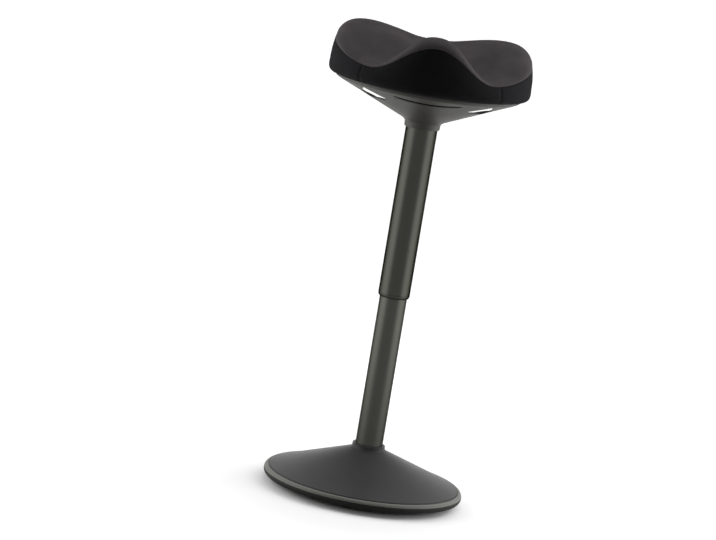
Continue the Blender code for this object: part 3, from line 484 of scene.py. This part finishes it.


# Rim ring
# A grey rubber ring round the edge of the base: a grey bead over a skirt whose near-black colour
# is painted shade, where the ring turns down towards the floor.
# It snaps over the pan's edge and leaves a fine dark seam along the cover.
RIM_COLOUR = (0.150, 0.150, 0.138, 1)
# The skirt's near-black is painted shade on the ring's downward-facing lower part, not a second
# rubber.
SKIRT_PAINTED_SHADE = (0.020, 0.020, 0.018, 1)
RIM_SEAM = 0.0006
RIM_LIP = 0.0016
RIM_FOOT = 0.25
RIM_ARC = (-90.0, 72.0)
RIM_FACETS = 18
BEAD_START = 22.0
rim_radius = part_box("rim_ring")[1].x
rim_rubber = finish(
    "grey_rim_rubber", moulded_grain,
    {"Colour": RIM_COLOUR, "Roughness": 0.55, "Scale": 900.0, "Mottle": 0.14},
    relief=0.00015, constants={"Specular IOR Level": 0.1},
)
skirt_painted_shade = finish(
    "rim_skirt_painted_shade", moulded_grain,
    {"Colour": SKIRT_PAINTED_SHADE, "Roughness": 0.6, "Scale": 900.0, "Mottle": 0.14},
    relief=0.00015, constants={"Specular IOR Level": 0.1},
)
rim_foot = cover_radius + RIM_FOOT * (rim_radius - cover_radius)
rim_bottom = tread(rim_foot)
rim_round = (SEAM_HEIGHT - rim_bottom) / 2
rim_inner = cover_radius - PAN_STEP + TUBE_GAP
rim_ledge = SEAM_HEIGHT - cover_drop - TUBE_GAP
rim_profile = [(rim_inner, rim_bottom)]
rim_profile += arc(
    (rim_foot, rim_bottom + rim_round), (rim_radius - rim_foot, rim_round), *RIM_ARC, RIM_FACETS
)
rim_profile += bend(
    (cover_radius + RIM_SEAM + RIM_LIP, SEAM_HEIGHT - TUBE_GAP),
    (cover_radius + RIM_SEAM, SEAM_HEIGHT - TUBE_GAP),
    (cover_radius + RIM_SEAM, SEAM_HEIGHT - RIM_LIP),
    EDGE_FACETS,
)
rim_profile += [(cover_radius + RIM_SEAM, rim_ledge), (rim_inner, rim_ledge)]
rim_shape = turned(rim_profile)
# Faces below the bead take the skirt's painted shade.
bead_bottom = rim_bottom + rim_round * (1 + sin(radians(BEAD_START)))
for face in rim_shape.faces:
    face.material_index = int(face.calc_center_median().z < bead_bottom)
rim = piece("rim", rim_shape, "base", "rim_rubber", rim_rubber, skirt_painted_shade)
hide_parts("rim_ring")


# Column tube
# A drawn steel tube with a satin dark powder coat, clamped in the hub and open at the top.
# Its end is chamfered where the guide bush goes in.
COLUMN_COLOUR = (0.043, 0.043, 0.038, 1)
COLUMN_WALL = 0.0018
TUBE_CHAMFER = 0.0005
column_low, column_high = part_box("lower_tube")


def tube_profile(inner, outer, bottom, top, chamfer):
    """The wall of a tube with its outer edges broken."""
    return [
        (inner, bottom), (outer - chamfer, bottom), (outer, bottom + chamfer),
        (outer, top - chamfer), (outer - chamfer, top), (inner, top),
    ]


column_paint = finish(
    "satin_column_paint", moulded_grain,
    {"Colour": COLUMN_COLOUR, "Roughness": 0.34, "Scale": 1500.0, "Mottle": 0.10},
    relief=0.00006, constants={"Metallic": 1.0, "Specular Tint": (0.4, 0.4, 0.4, 1)},
)
column_shape = turned(tube_profile(
    column_high.x - COLUMN_WALL, column_high.x, column_low.z, column_high.z, TUBE_CHAMFER
))
column = piece("column_tube", column_shape, "base", "tube_paint", column_paint)
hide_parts("lower_tube")


# Gas spring and swivel bearing
# A bought-in gas spring stands on a ball bearing inside the tube: bright steel rod and cylinder,
# with white acetal bushes and cage. Nothing of it shows unless the seat is lifted off.
ACETAL_COLOUR = (0.70, 0.70, 0.68, 1)
acetal = finish(
    "white_acetal", moulded_grain,
    {"Colour": ACETAL_COLOUR, "Roughness": 0.5, "Scale": 700.0, "Mottle": 0.05},
    relief=0.00005,
)
dress(
    bright_steel, "column_end_plate", "bearing_lower_race", "bearing_upper_race", "rod_clip",
    "piston_rod", "gas_cylinder", "valve_pin",
)
dress(acetal, "guide_bush", "bearing_cage", "piston", "cylinder_gland", "sleeve_cap")
dress(sole_rubber, "bump_washer")


# Sleeve
# A wider steel tube in the same satin coat slides down over the column and hides the gas spring.
# A glide with a rounded lip, finished like the tube, is pressed into its lower end.
SLEEVE_COLOUR = (0.036, 0.036, 0.032, 1)
SLEEVE_WALL = 0.0020
SLEEVE_CHAMFER = 0.00025
GLIDE_ROUND = (0.0034, 0.0062)
GLIDE_INNER_ROUND = 0.0006
sleeve_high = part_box("upper_tube")[1]
glide_low, glide_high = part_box("sleeve_glide")
glide_lip_top = glide_low.z + GLIDE_ROUND[1] + TUBE_GAP
glide_outer = sleeve_high.x - SLEEVE_WALL - TUBE_GAP
sleeve_paint = finish(
    "satin_sleeve_paint", moulded_grain,
    {"Colour": SLEEVE_COLOUR, "Roughness": 0.30, "Scale": 1500.0, "Mottle": 0.10},
    relief=0.00006, constants={"Metallic": 1.0, "Specular Tint": (0.15, 0.15, 0.15, 1)},
)
sleeve_shape = turned(tube_profile(
    sleeve_high.x - SLEEVE_WALL, sleeve_high.x, glide_lip_top + TUBE_GAP, sleeve_high.z,
    SLEEVE_CHAMFER,
))
sleeve = piece("sleeve_tube", sleeve_shape, "seat", "tube_paint", sleeve_paint)
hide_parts("upper_tube")
glide_profile = arc(
    (collar_inner + GLIDE_INNER_ROUND, glide_low.z + GLIDE_INNER_ROUND),
    (GLIDE_INNER_ROUND, GLIDE_INNER_ROUND), 180, 270, EDGE_FACETS,
)
glide_profile += arc(
    (sleeve_high.x - GLIDE_ROUND[0], glide_low.z + GLIDE_ROUND[1]), GLIDE_ROUND, -90, 0
)
glide_profile += [
    (sleeve_high.x, glide_lip_top),
    (glide_outer, glide_lip_top),
    (glide_outer, glide_high.z),
    (collar_inner, glide_high.z),
]
glide = piece("sleeve_lip", turned(glide_profile), "seat", "tube_paint", sleeve_paint)
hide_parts("sleeve_glide")


# Seat plate and release
# A pressed and painted steel plate with a taper socket carries the seat board on four bolts.
# A bracket on it holds the release lever, a moulded paddle that reaches to the finger slot.
# The paddle's near-black is painted shade for the inside of the finger slot, where it shows
# through.
PADDLE_PAINTED_SHADE = (0.010, 0.010, 0.009, 1)
dress(bright_steel, *numbered("plate_bolt"), *numbered("t_nut"), *numbered("shell_screw"))
dress(column_paint, "taper_socket", "seat_plate", "lever_bracket", "pivot_pin")
paddle_painted_shade = finish(
    "paddle_plastic_painted_shade", moulded_grain,
    {"Colour": PADDLE_PAINTED_SHADE, "Roughness": 0.55, "Scale": 900.0, "Mottle": 0.15},
    relief=0.0001, constants={"Specular IOR Level": 0.15},
)
dress(paddle_painted_shade, "release_paddle")


# Seat shell
# One moulding in grey-olive plastic: a neck over the sleeve that opens into a thin cone.
# Each side has a narrow window and a wide grip behind it, and a finger slot runs across the front.
SHELL_COLOUR = (0.029, 0.028, 0.0235, 1)
SHELL_COLUMNS = 192
SEAT_UNDERSIDE = 0.7635
SEAT_HALF_WIDTH = 0.185
SEAT_FRONT = 0.160
SEAT_REAR = 0.163
FRONT_FULLNESS = 1.8
REAR_FULLNESS = 2.4
SHELL_WALL = 0.0022
SHELL_INSET = 0.017
SHELL_RISE = 0.058
SHELL_EDGE = 0.0007
SHELL_SHARP = 50.0
LIP_ROUND = 0.0035
NECK_WALL = 0.003
NECK_FLARE = 0.0025
NECK_HEIGHT = 0.013
NECK_DRAFT = 0.0005
NECK_ROLL = 0.004
FOOT_SHARE = 0.04
WINDOW_START = 41.25
WINDOW_TIP = 47.0
WINDOW_TAPER = (50.0, 64.0)
WINDOW_CORNER = 54.5
WINDOW_STOP = 67.5
WINDOW_FRONT = 0.083
WINDOW_OUTER = (0.92, 0.74)
WINDOW_INNER = (0.66, 0.62, 0.585)
GRIP_START = 75.0
GRIP_STOP = 135.0
GRIP_MOUTH = (0.60, 0.74)
GRIP_WIDE = (0.28, 0.88)
GRIP_INNER_SPREAD = (0.2, 0.65)
GRIP_OUTER_SPREAD = (0.0, 0.16)
GRIP_CORNER = (0.86, 1.0)
GRIP_ROUND = 0.12
FINGER_MIDDLE = 0.79
FINGER_BOW = 0.08
FINGER_HALF = 0.032
FINGER_HALF_ANGLE = 28.125
FINGER_END = 0.45
FINGER_SQUARENESS = 4
ROW_STEP = 0.02
ROWS = {
    "neck": 4, "foot": 4, "below": 10, "grip": 12, "between": 3, "finger": 4, "rim": 5,
    "round": 4, "lip": 2,
}
neck_radius = sleeve_high.x + TUBE_GAP + NECK_WALL
cone_radius = neck_radius + NECK_FLARE
neck_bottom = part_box("seat_shell")[0].z
cone_bottom = neck_bottom + NECK_HEIGHT
shell_lip = SEAT_UNDERSIDE - TUBE_GAP


def outline(angle):
    """Plan radius of the cushion at its widest, by angle from the front."""
    forward = cos(angle) > 0
    fullness = FRONT_FULLNESS if forward else REAR_FULLNESS
    across = abs(sin(angle)) / SEAT_HALF_WIDTH
    along = abs(cos(angle)) / (SEAT_FRONT if forward else SEAT_REAR)
    return (across ** fullness + along ** fullness) ** (-1 / fullness)


def from_front(angle):
    """An angle's turn away from the front, to either side."""
    return abs((angle + pi) % tau - pi)


def at(angle, radius, height):
    """A place by its angle from the front, its radius and its height."""
    return Vector((radius * sin(angle), -radius * cos(angle), height))


def angle_of(place):
    """A place's angle from the front."""
    return atan2(place.x, -place.y)


def eased(value, start, stop):
    """0 up to start, 1 from stop, smooth between them."""
    share = min(1.0, max(0.0, (value - start) / (stop - start)))
    return share * share * (3 - 2 * share)


def grip_edges(angle):
    """Edges of the openings: a narrow window in front, and past a strut the wide grip behind it."""
    turn = from_front(angle)
    degrees = turn * 180 / pi
    if degrees < GRIP_START:
        reach = outline(angle) - SHELL_INSET - cone_radius
        straight = (WINDOW_FRONT / cos(turn) - cone_radius) / reach
        closing = (degrees - WINDOW_CORNER) / (WINDOW_STOP - WINDOW_CORNER)
        slanted = WINDOW_OUTER[0] + (WINDOW_OUTER[1] - WINDOW_OUTER[0]) * closing
        tip, middle, end = WINDOW_INNER
        inner = tip + (middle - tip) * eased(degrees, WINDOW_START, WINDOW_TIP)
        inner += (end - middle) * eased(degrees, *WINDOW_TAPER)
        return inner, max(inner + ROW_STEP / 2, min(straight, slanted, WINDOW_OUTER[0]))
    part = (degrees - GRIP_START) / (GRIP_STOP - GRIP_START)
    corner = GRIP_ROUND * eased(part, *GRIP_CORNER)
    inner = GRIP_MOUTH[0] + (GRIP_WIDE[0] - GRIP_MOUTH[0]) * eased(part, *GRIP_INNER_SPREAD)
    outer = GRIP_MOUTH[1] + (GRIP_WIDE[1] - GRIP_MOUTH[1]) * eased(part, *GRIP_OUTER_SPREAD)
    return inner + corner, outer - corner


def finger_edges(angle):
    """Edges of the finger slot, bowed outwards and narrower at its ends."""
    off = min(1.0, from_front(angle) / radians(FINGER_HALF_ANGLE))
    half = FINGER_HALF * (FINGER_END + (1 - FINGER_END) * sqrt(1 - off ** FINGER_SQUARENESS))
    middle = FINGER_MIDDLE + FINGER_BOW * off ** 2
    inner = max(middle - half, grip_edges(angle)[1] + ROW_STEP)
    return inner, max(middle + half, inner + ROW_STEP)


def cone_place(angle, share):
    """Radius and height on the cone, at a share of the way from the neck to the lip."""
    reach = outline(angle) - SHELL_INSET - cone_radius
    return cone_radius + reach * share, cone_bottom + SHELL_RISE * share


def shell_section(angle):
    """The shell's outer face at one angle, as (radius, height) from the neck up to the lip."""
    neck_foot = (neck_radius, neck_bottom)
    neck_top = (neck_radius + NECK_DRAFT, cone_bottom - NECK_ROLL)
    finger = finger_edges(angle)
    rim_start = max(finger[1] + ROW_STEP, 1 - LIP_ROUND / SHELL_RISE)
    shares = [FOOT_SHARE, *grip_edges(angle), *finger, rim_start]
    spans = zip(shares, shares[1:], ("below", "grip", "between", "finger", "rim"))
    section = [
        tuple(low + (high - low) * row / ROWS["neck"] for low, high in zip(neck_foot, neck_top))
        for row in range(ROWS["neck"])
    ]
    cone_start = cone_place(angle, FOOT_SHARE)
    section += bend(neck_top, (cone_radius, cone_bottom), cone_start, ROWS["foot"])
    for start, stop, name in spans:
        count = ROWS[name]
        section += [
            cone_place(angle, start + (stop - start) * row / count) for row in range(1, count + 1)
        ]
    brim = cone_place(angle, 1.0)
    lip_start = brim[1] + LIP_ROUND / 2
    section += bend(section[-1], brim, (brim[0], lip_start), ROWS["round"])[1:]
    section += [
        (brim[0], lip_start + (shell_lip - lip_start) * row / ROWS["lip"])
        for row in range(1, ROWS["lip"] + 1)
    ]
    return section


def wrapped_grid(columns, section):
    """A grid bent once round the column, each column of points on the section at its angle."""
    sheet = bmesh.new()
    rows = len(section(0.0)) - 1
    bmesh.ops.create_grid(sheet, x_segments=columns, y_segments=rows, size=0.5)
    for point in sheet.verts:
        angle = tau * round((point.co.x + 0.5) * columns) / columns
        point.co = at(angle, *section(angle)[round((point.co.y + 0.5) * rows)])
    return sheet


def in_slot(face):
    """Whether a cell of the sheet lies in one of the openings."""
    middle = face.calc_center_median()
    turn = from_front(angle_of(middle))
    degrees = turn * 180 / pi
    share = (middle.z - cone_bottom) / SHELL_RISE
    if degrees < FINGER_HALF_ANGLE:
        inner, outer = finger_edges(turn)
    elif WINDOW_START < degrees < WINDOW_STOP or GRIP_START < degrees < GRIP_STOP:
        inner, outer = grip_edges(turn)
    else:
        return False
    return inner < share < outer


shell_plastic = finish(
    "grey_olive_shell_plastic", moulded_grain,
    {"Colour": SHELL_COLOUR, "Roughness": 0.48, "Scale": 1100.0, "Mottle": 0.12},
    relief=0.00012, constants={"Specular IOR Level": 0.22},
)
shell_sheet = wrapped_grid(SHELL_COLUMNS, shell_section)
openings = [face for face in shell_sheet.faces if in_slot(face)]
bmesh.ops.delete(shell_sheet, geom=openings, context='FACES')
bmesh.ops.remove_doubles(shell_sheet, verts=shell_sheet.verts, dist=MERGE_DISTANCE)
bmesh.ops.recalc_face_normals(shell_sheet, faces=shell_sheet.faces)
bmesh.ops.solidify(shell_sheet, geom=shell_sheet.faces[:], thickness=SHELL_WALL)
sharp_edges = [
    edge for edge in shell_sheet.edges if edge.calc_face_angle(0.0) > radians(SHELL_SHARP)
]
bmesh.ops.bevel(
    shell_sheet, geom=sharp_edges, offset=SHELL_EDGE, segments=3, profile=0.5,
    affect='EDGES', material=-1, clamp_overlap=True,
)
shell = piece("shell", shell_sheet, "seat", "shell_plastic", shell_plastic)
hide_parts("seat_shell")


# Seat board
# A plywood board under the cushion, where the cover's hem is stapled and the T-nuts sit.
# Its face veneer shows through the grips from below.
VENEER_DARK = (0.36, 0.22, 0.11, 1)
VENEER_LIGHT = (0.60, 0.43, 0.26, 1)
VENEER_PULL = (1.0, 0.12, 1.0)
VENEER_BANDS = {"Scale": 14.0, "Distortion": 6.0, "Detail": 3.0}
FIGURE_SCALE = 90.0
FIGURE_DETAIL = 5.0
FIGURE_SHARE = 0.65
BAND_SHARE = 0.35
VENEER_ROUGHNESS = 0.55
VENEER_DRIFT = 0.2
VENEER_RELIEF = 0.0002


def plywood_finish():
    """Face veneer with wavy bands and a fine figure, both drawn out along its grain."""
    material = bpy.data.materials.new("birch_plywood")
    material.use_nodes = True
    tree = material.node_tree
    shader = tree.nodes["Principled BSDF"]
    place = put(tree, "TexCoord").outputs["Object"]
    pulled = put(tree, "Mapping", {"Vector": place, "Scale": VENEER_PULL}).outputs[0]
    figure = noise(tree, pulled, FIGURE_SCALE, FIGURE_DETAIL)
    bands = put(tree, "TexWave", {"Vector": pulled, **VENEER_BANDS}).outputs["Fac"]
    fine = maths(tree, 'MULTIPLY', figure, FIGURE_SHARE)
    grain = maths(tree, 'MULTIPLY_ADD', bands, BAND_SHARE, fine)
    tone = put(tree, "Mix", {0: grain, 6: VENEER_DARK, 7: VENEER_LIGHT}, data_type='RGBA')
    rough = maths(tree, 'MULTIPLY_ADD', grain, VENEER_DRIFT, VENEER_ROUGHNESS)
    relief = put(tree, "Bump", {"Height": grain, "Distance": VENEER_RELIEF})
    tree.links.new(tone.outputs[2], shader.inputs["Base Color"])
    tree.links.new(rough, shader.inputs["Roughness"])
    tree.links.new(relief.outputs[0], shader.inputs["Normal"])
    return material


dress(plywood_finish(), "seat_board")


# Cushion
# A saddle of moulded foam in a sewn knit cover: a crowned top panel and a darker side band.
# The two meet in a plain seam, the band has an upright seam in each leg channel, and the hem is
# stapled under the board. The cover is blown up a little by a cloth simulation.
TOP_COLOUR = (0.0755, 0.069, 0.0715, 1)
BAND_COLOUR = (0.011, 0.0103, 0.0118, 1)
KNIT = {"Roughness": 0.85, "Scale": 800.0, "Mottle": 0.5}
KNIT_RELIEF = 0.0003
KNIT_DETAIL = 2.0
KNIT_CLOUDS = 22.0
KNIT_DRIFT = 0.1
YARN_SCALE = 0.8
LOOP_STAGGER = 0.5
# LOOP_SHADE and SEAM_SHADE are painted shade: the colour darkens in the loops' hollows and down in
# the seam.
LOOP_SHADE = 0.4
FLECK_LEVEL = 0.8
SEAM_SHADE = (0.15, 1.0)
SEAM_SHADE_REACH = (0.0004, 0.0020)
CUSHION_CELLS = 64
CUSHION_SHARP = 60.0
CROWN_START = 0.68
SIDE_DRAW = 0.004
BAND_BELLY = 0.45
BAND_ROWS = (0.035, 0.08, 0.15, 0.24, 0.34, 0.45, 0.56, 0.67, 0.78, 0.89, 1.0)
HEM_ROUND = 0.0105
EDGE_DROP = 0.0045
LIP_GAP = 0.0008
HEM_TURN = (30.0, 60.0, 90.0)
HEM_WIDTH = 0.018
SHOULDER = 0.78
CROWN_POWER = 2.4
POMMEL_BREADTH = 1.25
CHANNEL_ANGLE = 45.0
LOBE_ANGLE = 112.0
CENTRE_HEIGHT = 0.058
CROWN_HEIGHTS = (0.1015, 0.036, 0.091, 0.068)
SEAM_HEIGHTS = (0.0825, 0.0285, 0.062, 0.0415)
COVER_CLOTH = 0.002
BAND_SEAM_ANGLE = 50.0
FAR = 1.0
SWELL = 0.0018
SWELL_LIMIT = 0.0035
SEAM_HOLD = 0.85
PRESSURE = 3.0
CLOTH_QUALITY = 6
SWELL_FRAMES = 18
SEAM_DEPTH = 0.0016
SEAM_REACH = 0.0022
PUCKER_DEPTH = 0.0002
PUCKER_PITCH = 0.012
PUCKER_REACH = 0.007


def around(angle, pommel, channel, lobe, notch, breadth=1.0):
    """A height by angle from the front: pommel, leg channel, rear lobe, and notch at the back."""
    turn = from_front(angle)
    channel_turn = radians(CHANNEL_ANGLE)
    lobe_turn = radians(LOBE_ANGLE)
    if turn <= channel_turn:
        start, stop, share = pommel, channel, (turn / channel_turn) ** breadth
    elif turn <= lobe_turn:
        start, stop, share = channel, lobe, (turn - channel_turn) / (lobe_turn - channel_turn)
    else:
        start, stop, share = lobe, notch, (turn - lobe_turn) / (pi - lobe_turn)
    return start + (stop - start) * (1 - cos(pi * share)) / 2


def seam_height(angle):
    """Height of the seam between the top panel and the band."""
    return SEAT_UNDERSIDE + around(angle, *SEAM_HEIGHTS)


def crown_place(angle, part):
    """Radius and height on the top panel, at a part of the way from the middle to the seam."""
    lift = around(angle, *CROWN_HEIGHTS, POMMEL_BREADTH)
    reach = outline(angle) - SIDE_DRAW
    if part < CROWN_START:
        share = part / CROWN_START
        rise = (1 - cos(pi * share)) / 2
        height = SEAT_UNDERSIDE + CENTRE_HEIGHT + (lift - CENTRE_HEIGHT) * rise
        return SHOULDER * share * reach, height
    roll = pi / 2 * (part - CROWN_START) / (1 - CROWN_START)
    share = SHOULDER + (1 - SHOULDER) * sin(roll) ** (2 / CROWN_POWER)
    seam = seam_height(angle)
    return share * reach, seam + (SEAT_UNDERSIDE + lift - seam) * cos(roll)


def side_radius(angle, height):
    """Plan radius of the band, drawn in at the seam and at the hem."""
    bottom = SEAT_UNDERSIDE - EDGE_DROP
    share = (height - bottom) / (seam_height(angle) - bottom)
    bulge = (share - BAND_BELLY) / (1 - BAND_BELLY if share > BAND_BELLY else BAND_BELLY)
    return outline(angle) - SIDE_DRAW * bulge ** 2


def band_section(angle):
    """The band at one angle: down the side, round the edge, up by the lip and along the hem."""
    seam = seam_height(angle)
    bottom = SEAT_UNDERSIDE - EDGE_DROP
    foot = bottom + HEM_ROUND
    heights = [seam + (foot - seam) * share for share in BAND_ROWS]
    section = [(side_radius(angle, height), height) for height in heights]
    edge = section[-1][0] - HEM_ROUND
    for degrees in HEM_TURN:
        turn = radians(degrees)
        section.append((edge + HEM_ROUND * cos(turn), foot - HEM_ROUND * sin(turn)))
    by_lip = outline(angle) - SHELL_INSET + LIP_GAP
    section += [(by_lip + LIP_GAP, bottom), (by_lip, bottom + LIP_GAP), (by_lip, SEAT_UNDERSIDE)]
    return section + [(outline(angle) - SIDE_DRAW - HEM_WIDTH, SEAT_UNDERSIDE)]


def extruded_loop(shape, loop, places):
    """Extrudes a closed edge loop once and moves each new point to the place for its angle."""
    made = bmesh.ops.extrude_edge_only(shape, edges=loop)["geom"]
    points = [item for item in made if isinstance(item, bmesh.types.BMVert)]
    for point in points:
        angle = angle_of(point.co)
        point.co = at(angle, *places(angle))
    edges = [item for item in made if isinstance(item, bmesh.types.BMEdge) and item.is_boundary]
    return edges, points


def knit_effect():
    """A fine knit along the cloth's own map: ribs of beaded loops, with painted shade in the
    hollows between the loops and down in the seam.
    """
    group, given, result = surface("knit_cloth")
    place = put(group, "UVMap", uv_map="cloth").outputs["UV"]
    spread = scaled(group, place, given["Scale"])
    parts = put(group, "SeparateXYZ", {0: spread}).outputs
    rib = maths(group, 'SINE', maths(group, 'MULTIPLY', maths(group, 'FRACT', parts["X"]), pi))
    row = maths(group, 'FLOOR', parts["X"])
    stagger = maths(group, 'MULTIPLY_ADD', row, LOOP_STAGGER, parts["Y"])
    wave = maths(group, 'SINE', maths(group, 'MULTIPLY', stagger, tau))
    loops = maths(group, 'MULTIPLY_ADD', wave, 0.5, 0.5)
    height = maths(group, 'MULTIPLY', rib, maths(group, 'MULTIPLY_ADD', loops, 0.5, 0.5))
    yarn = noise(group, spread, YARN_SCALE, KNIT_DETAIL)
    clouds = noise(group, place, KNIT_CLOUDS, KNIT_DETAIL)
    blend = maths(group, 'SUBTRACT', maths(group, 'ADD', yarn, clouds), 1.0)
    fleck = maths(group, 'MULTIPLY_ADD', blend, given["Mottle"], FLECK_LEVEL)
    gap = put(group, "Attribute", attribute_name="seam_gap").outputs["Fac"]
    seam = ramp(group, gap, SEAM_SHADE_REACH, SEAM_SHADE, 'LINEAR')
    # Painted shade: darker colour in the hollows between the loops and down in the seam.
    flecked = maths(group, 'MULTIPLY_ADD', height, LOOP_SHADE, fleck)
    shade = maths(group, 'MULTIPLY', flecked, seam)
    return surfaced(group, given, result, shade, blend, KNIT_DRIFT, height)


def near(gap, reach):
    """1 where there is no gap, fading to 0 past the reach."""
    return exp(-(gap / reach) ** 2)


knit_cloth = knit_effect()
top_cloth = finish(
    "charcoal_knit", knit_cloth, {"Colour": TOP_COLOUR, **KNIT},
    relief=KNIT_RELIEF, constants={"Specular IOR Level": 0.0},
)
band_cloth = finish(
    "black_knit", knit_cloth, {"Colour": BAND_COLOUR, **KNIT},
    relief=KNIT_RELIEF,
    constants={"Specular IOR Level": 0.0, "Sheen Weight": 0.06, "Sheen Roughness": 0.6},
)

cover_shape = bmesh.new()
seam_gap = cover_shape.verts.layers.float.new("seam_gap")
band_gap = cover_shape.verts.layers.float.new("band_gap")
cloth_map = cover_shape.loops.layers.uv.new("cloth")
bmesh.ops.create_grid(cover_shape, x_segments=CUSHION_CELLS, y_segments=CUSHION_CELLS, size=1.0)
for point in cover_shape.verts:
    across, along = point.co.x, point.co.y
    disc = Vector((across * sqrt(1 - along ** 2 / 2), along * sqrt(1 - across ** 2 / 2), 0))
    angle = angle_of(disc)
    point.co = at(angle, *crown_place(angle, min(1.0, disc.length)))
    above = max(0.0, point.co.z - seam_height(angle))
    point[seam_gap] = above + (outline(angle) - SIDE_DRAW - point.co.xy.length)
    point[band_gap] = FAR
loop = [edge for edge in cover_shape.edges if edge.is_boundary]
seam_angles = sorted(angle_of(point.co) for edge in loop for point in edge.verts)
band_seams = [
    min(seam_angles, key=lambda angle: abs(angle - side * radians(BAND_SEAM_ANGLE)))
    for side in (-1, 1)
]
top_faces = set(cover_shape.faces)
for row in range(len(band_section(0.0))):
    loop, points = extruded_loop(cover_shape, loop, lambda angle: band_section(angle)[row])
    for point in points:
        angle = angle_of(point.co)
        point[seam_gap] = max(0.0, seam_height(angle) - point.co.z)
        point[band_gap] = min(abs(angle - seam) for seam in band_seams) * point.co.xy.length
bmesh.ops.recalc_face_normals(cover_shape, faces=cover_shape.faces)
for face in cover_shape.faces:
    on_top = face in top_faces
    face.material_index = 0 if on_top else 1
    middle = angle_of(face.calc_center_median())
    for corner in face.loops:
        place = corner.vert.co
        if on_top:
            corner[cloth_map].uv = place.xy
        else:
            turn = (angle_of(place) - middle + pi) % tau - pi + middle
            corner[cloth_map].uv = (turn * SEAT_HALF_WIDTH, place.z)

cushion_mesh = bpy.data.meshes.new("seat_cushion")
cover_shape.to_mesh(cushion_mesh)
cover_shape.free()
cushion_mesh.materials.append(top_cloth)
cushion_mesh.materials.append(band_cloth)
cushion = bpy.data.objects.new("seat_cushion", cushion_mesh)
scene.collection.objects.link(cushion)


def baked(obj):
    """The object's mesh as its modifiers leave it."""
    view = obj.evaluated_get(bpy.context.evaluated_depsgraph_get())
    return bpy.data.meshes.new_from_object(view)


def swollen(obj):
    """Blows the cover up from a slightly smaller shape, held at the hem and at the seam."""
    mesh = obj.data
    held = obj.vertex_groups.new(name="held")
    free = []
    for point in mesh.vertices:
        gap = mesh.attributes["seam_gap"].data[point.index].value
        under = eased(point.co.z, SEAT_UNDERSIDE + HEM_ROUND / 2, SEAT_UNDERSIDE + 2 * HEM_ROUND)
        hold = max(1 - under, SEAM_HOLD * near(gap, SEAM_REACH))
        held.add([point.index], hold, 'REPLACE')
        free.append(1 - hold)
    normals = [point.normal.copy() for point in mesh.vertices]
    for point, share, normal in zip(mesh.vertices, free, normals):
        point.co -= normal * SWELL * share
    start = [point.co.copy() for point in mesh.vertices]
    cloth = obj.modifiers.new("swell", 'CLOTH')
    cloth.settings.quality = CLOTH_QUALITY
    cloth.settings.use_pressure = True
    cloth.settings.uniform_pressure_force = PRESSURE
    cloth.settings.vertex_group_mass = held.name
    cloth.settings.effector_weights.gravity = 0.0
    cloth.point_cache.frame_end = SWELL_FRAMES
    for step in range(1, SWELL_FRAMES + 1):
        scene.frame_set(step)
    moved = baked(obj)
    for point, old, new in zip(mesh.vertices, start, moved.vertices):
        shift = new.co - old
        point.co = old + shift / (1 + shift.length / SWELL_LIMIT)
    obj.modifiers.remove(cloth)
    obj.vertex_groups.remove(held)
    bpy.data.meshes.remove(moved)
    scene.frame_set(1)


swollen(cushion)
smooth = cushion.modifiers.new("smooth", 'SUBSURF')
smooth.levels = 1
smooth.render_levels = 1
cushion_mesh = baked(cushion)
cushion.modifiers.clear()
cushion.data = cushion_mesh
cushion_mesh.name = "seat_cushion"
normals = [point.normal.copy() for point in cushion_mesh.vertices]
for point, normal in zip(cushion_mesh.vertices, normals):
    gap = cushion_mesh.attributes["seam_gap"].data[point.index].value
    side = cushion_mesh.attributes["band_gap"].data[point.index].value
    crease = max(near(gap, SEAM_REACH), near(side, SEAM_REACH))
    wave = sin(angle_of(point.co) * SEAT_HALF_WIDTH * tau / PUCKER_PITCH)
    pucker = wave * near(gap, PUCKER_REACH)
    point.co -= normal * (SEAM_DEPTH * crease + PUCKER_DEPTH * pucker)

closing = bmesh.new()
closing.from_mesh(cushion_mesh)
loop = [edge for edge in closing.edges if edge.is_boundary]
hem_top = SEAT_UNDERSIDE + COVER_CLOTH
board_gap = SIDE_DRAW + COVER_CLOTH - TUBE_GAP
foam_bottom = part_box("seat_board")[1].z + TUBE_GAP
inner_steps = (
    (SIDE_DRAW + HEM_WIDTH, hem_top), (board_gap, hem_top), (board_gap, foam_bottom),
)
for inset, height in inner_steps:
    loop, _ = extruded_loop(closing, loop, lambda angle: (outline(angle) - inset, height))
bmesh.ops.holes_fill(closing, edges=loop, sides=0)
bmesh.ops.recalc_face_normals(closing, faces=closing.faces)
closing.to_mesh(cushion_mesh)
closing.free()
cushion_mesh.shade_smooth()
cushion_mesh.set_sharp_from_angle(angle=radians(CUSHION_SHARP))
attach(cushion, "seat")
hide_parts("seat_foam", "cover_top_panel", "cover_side_band")
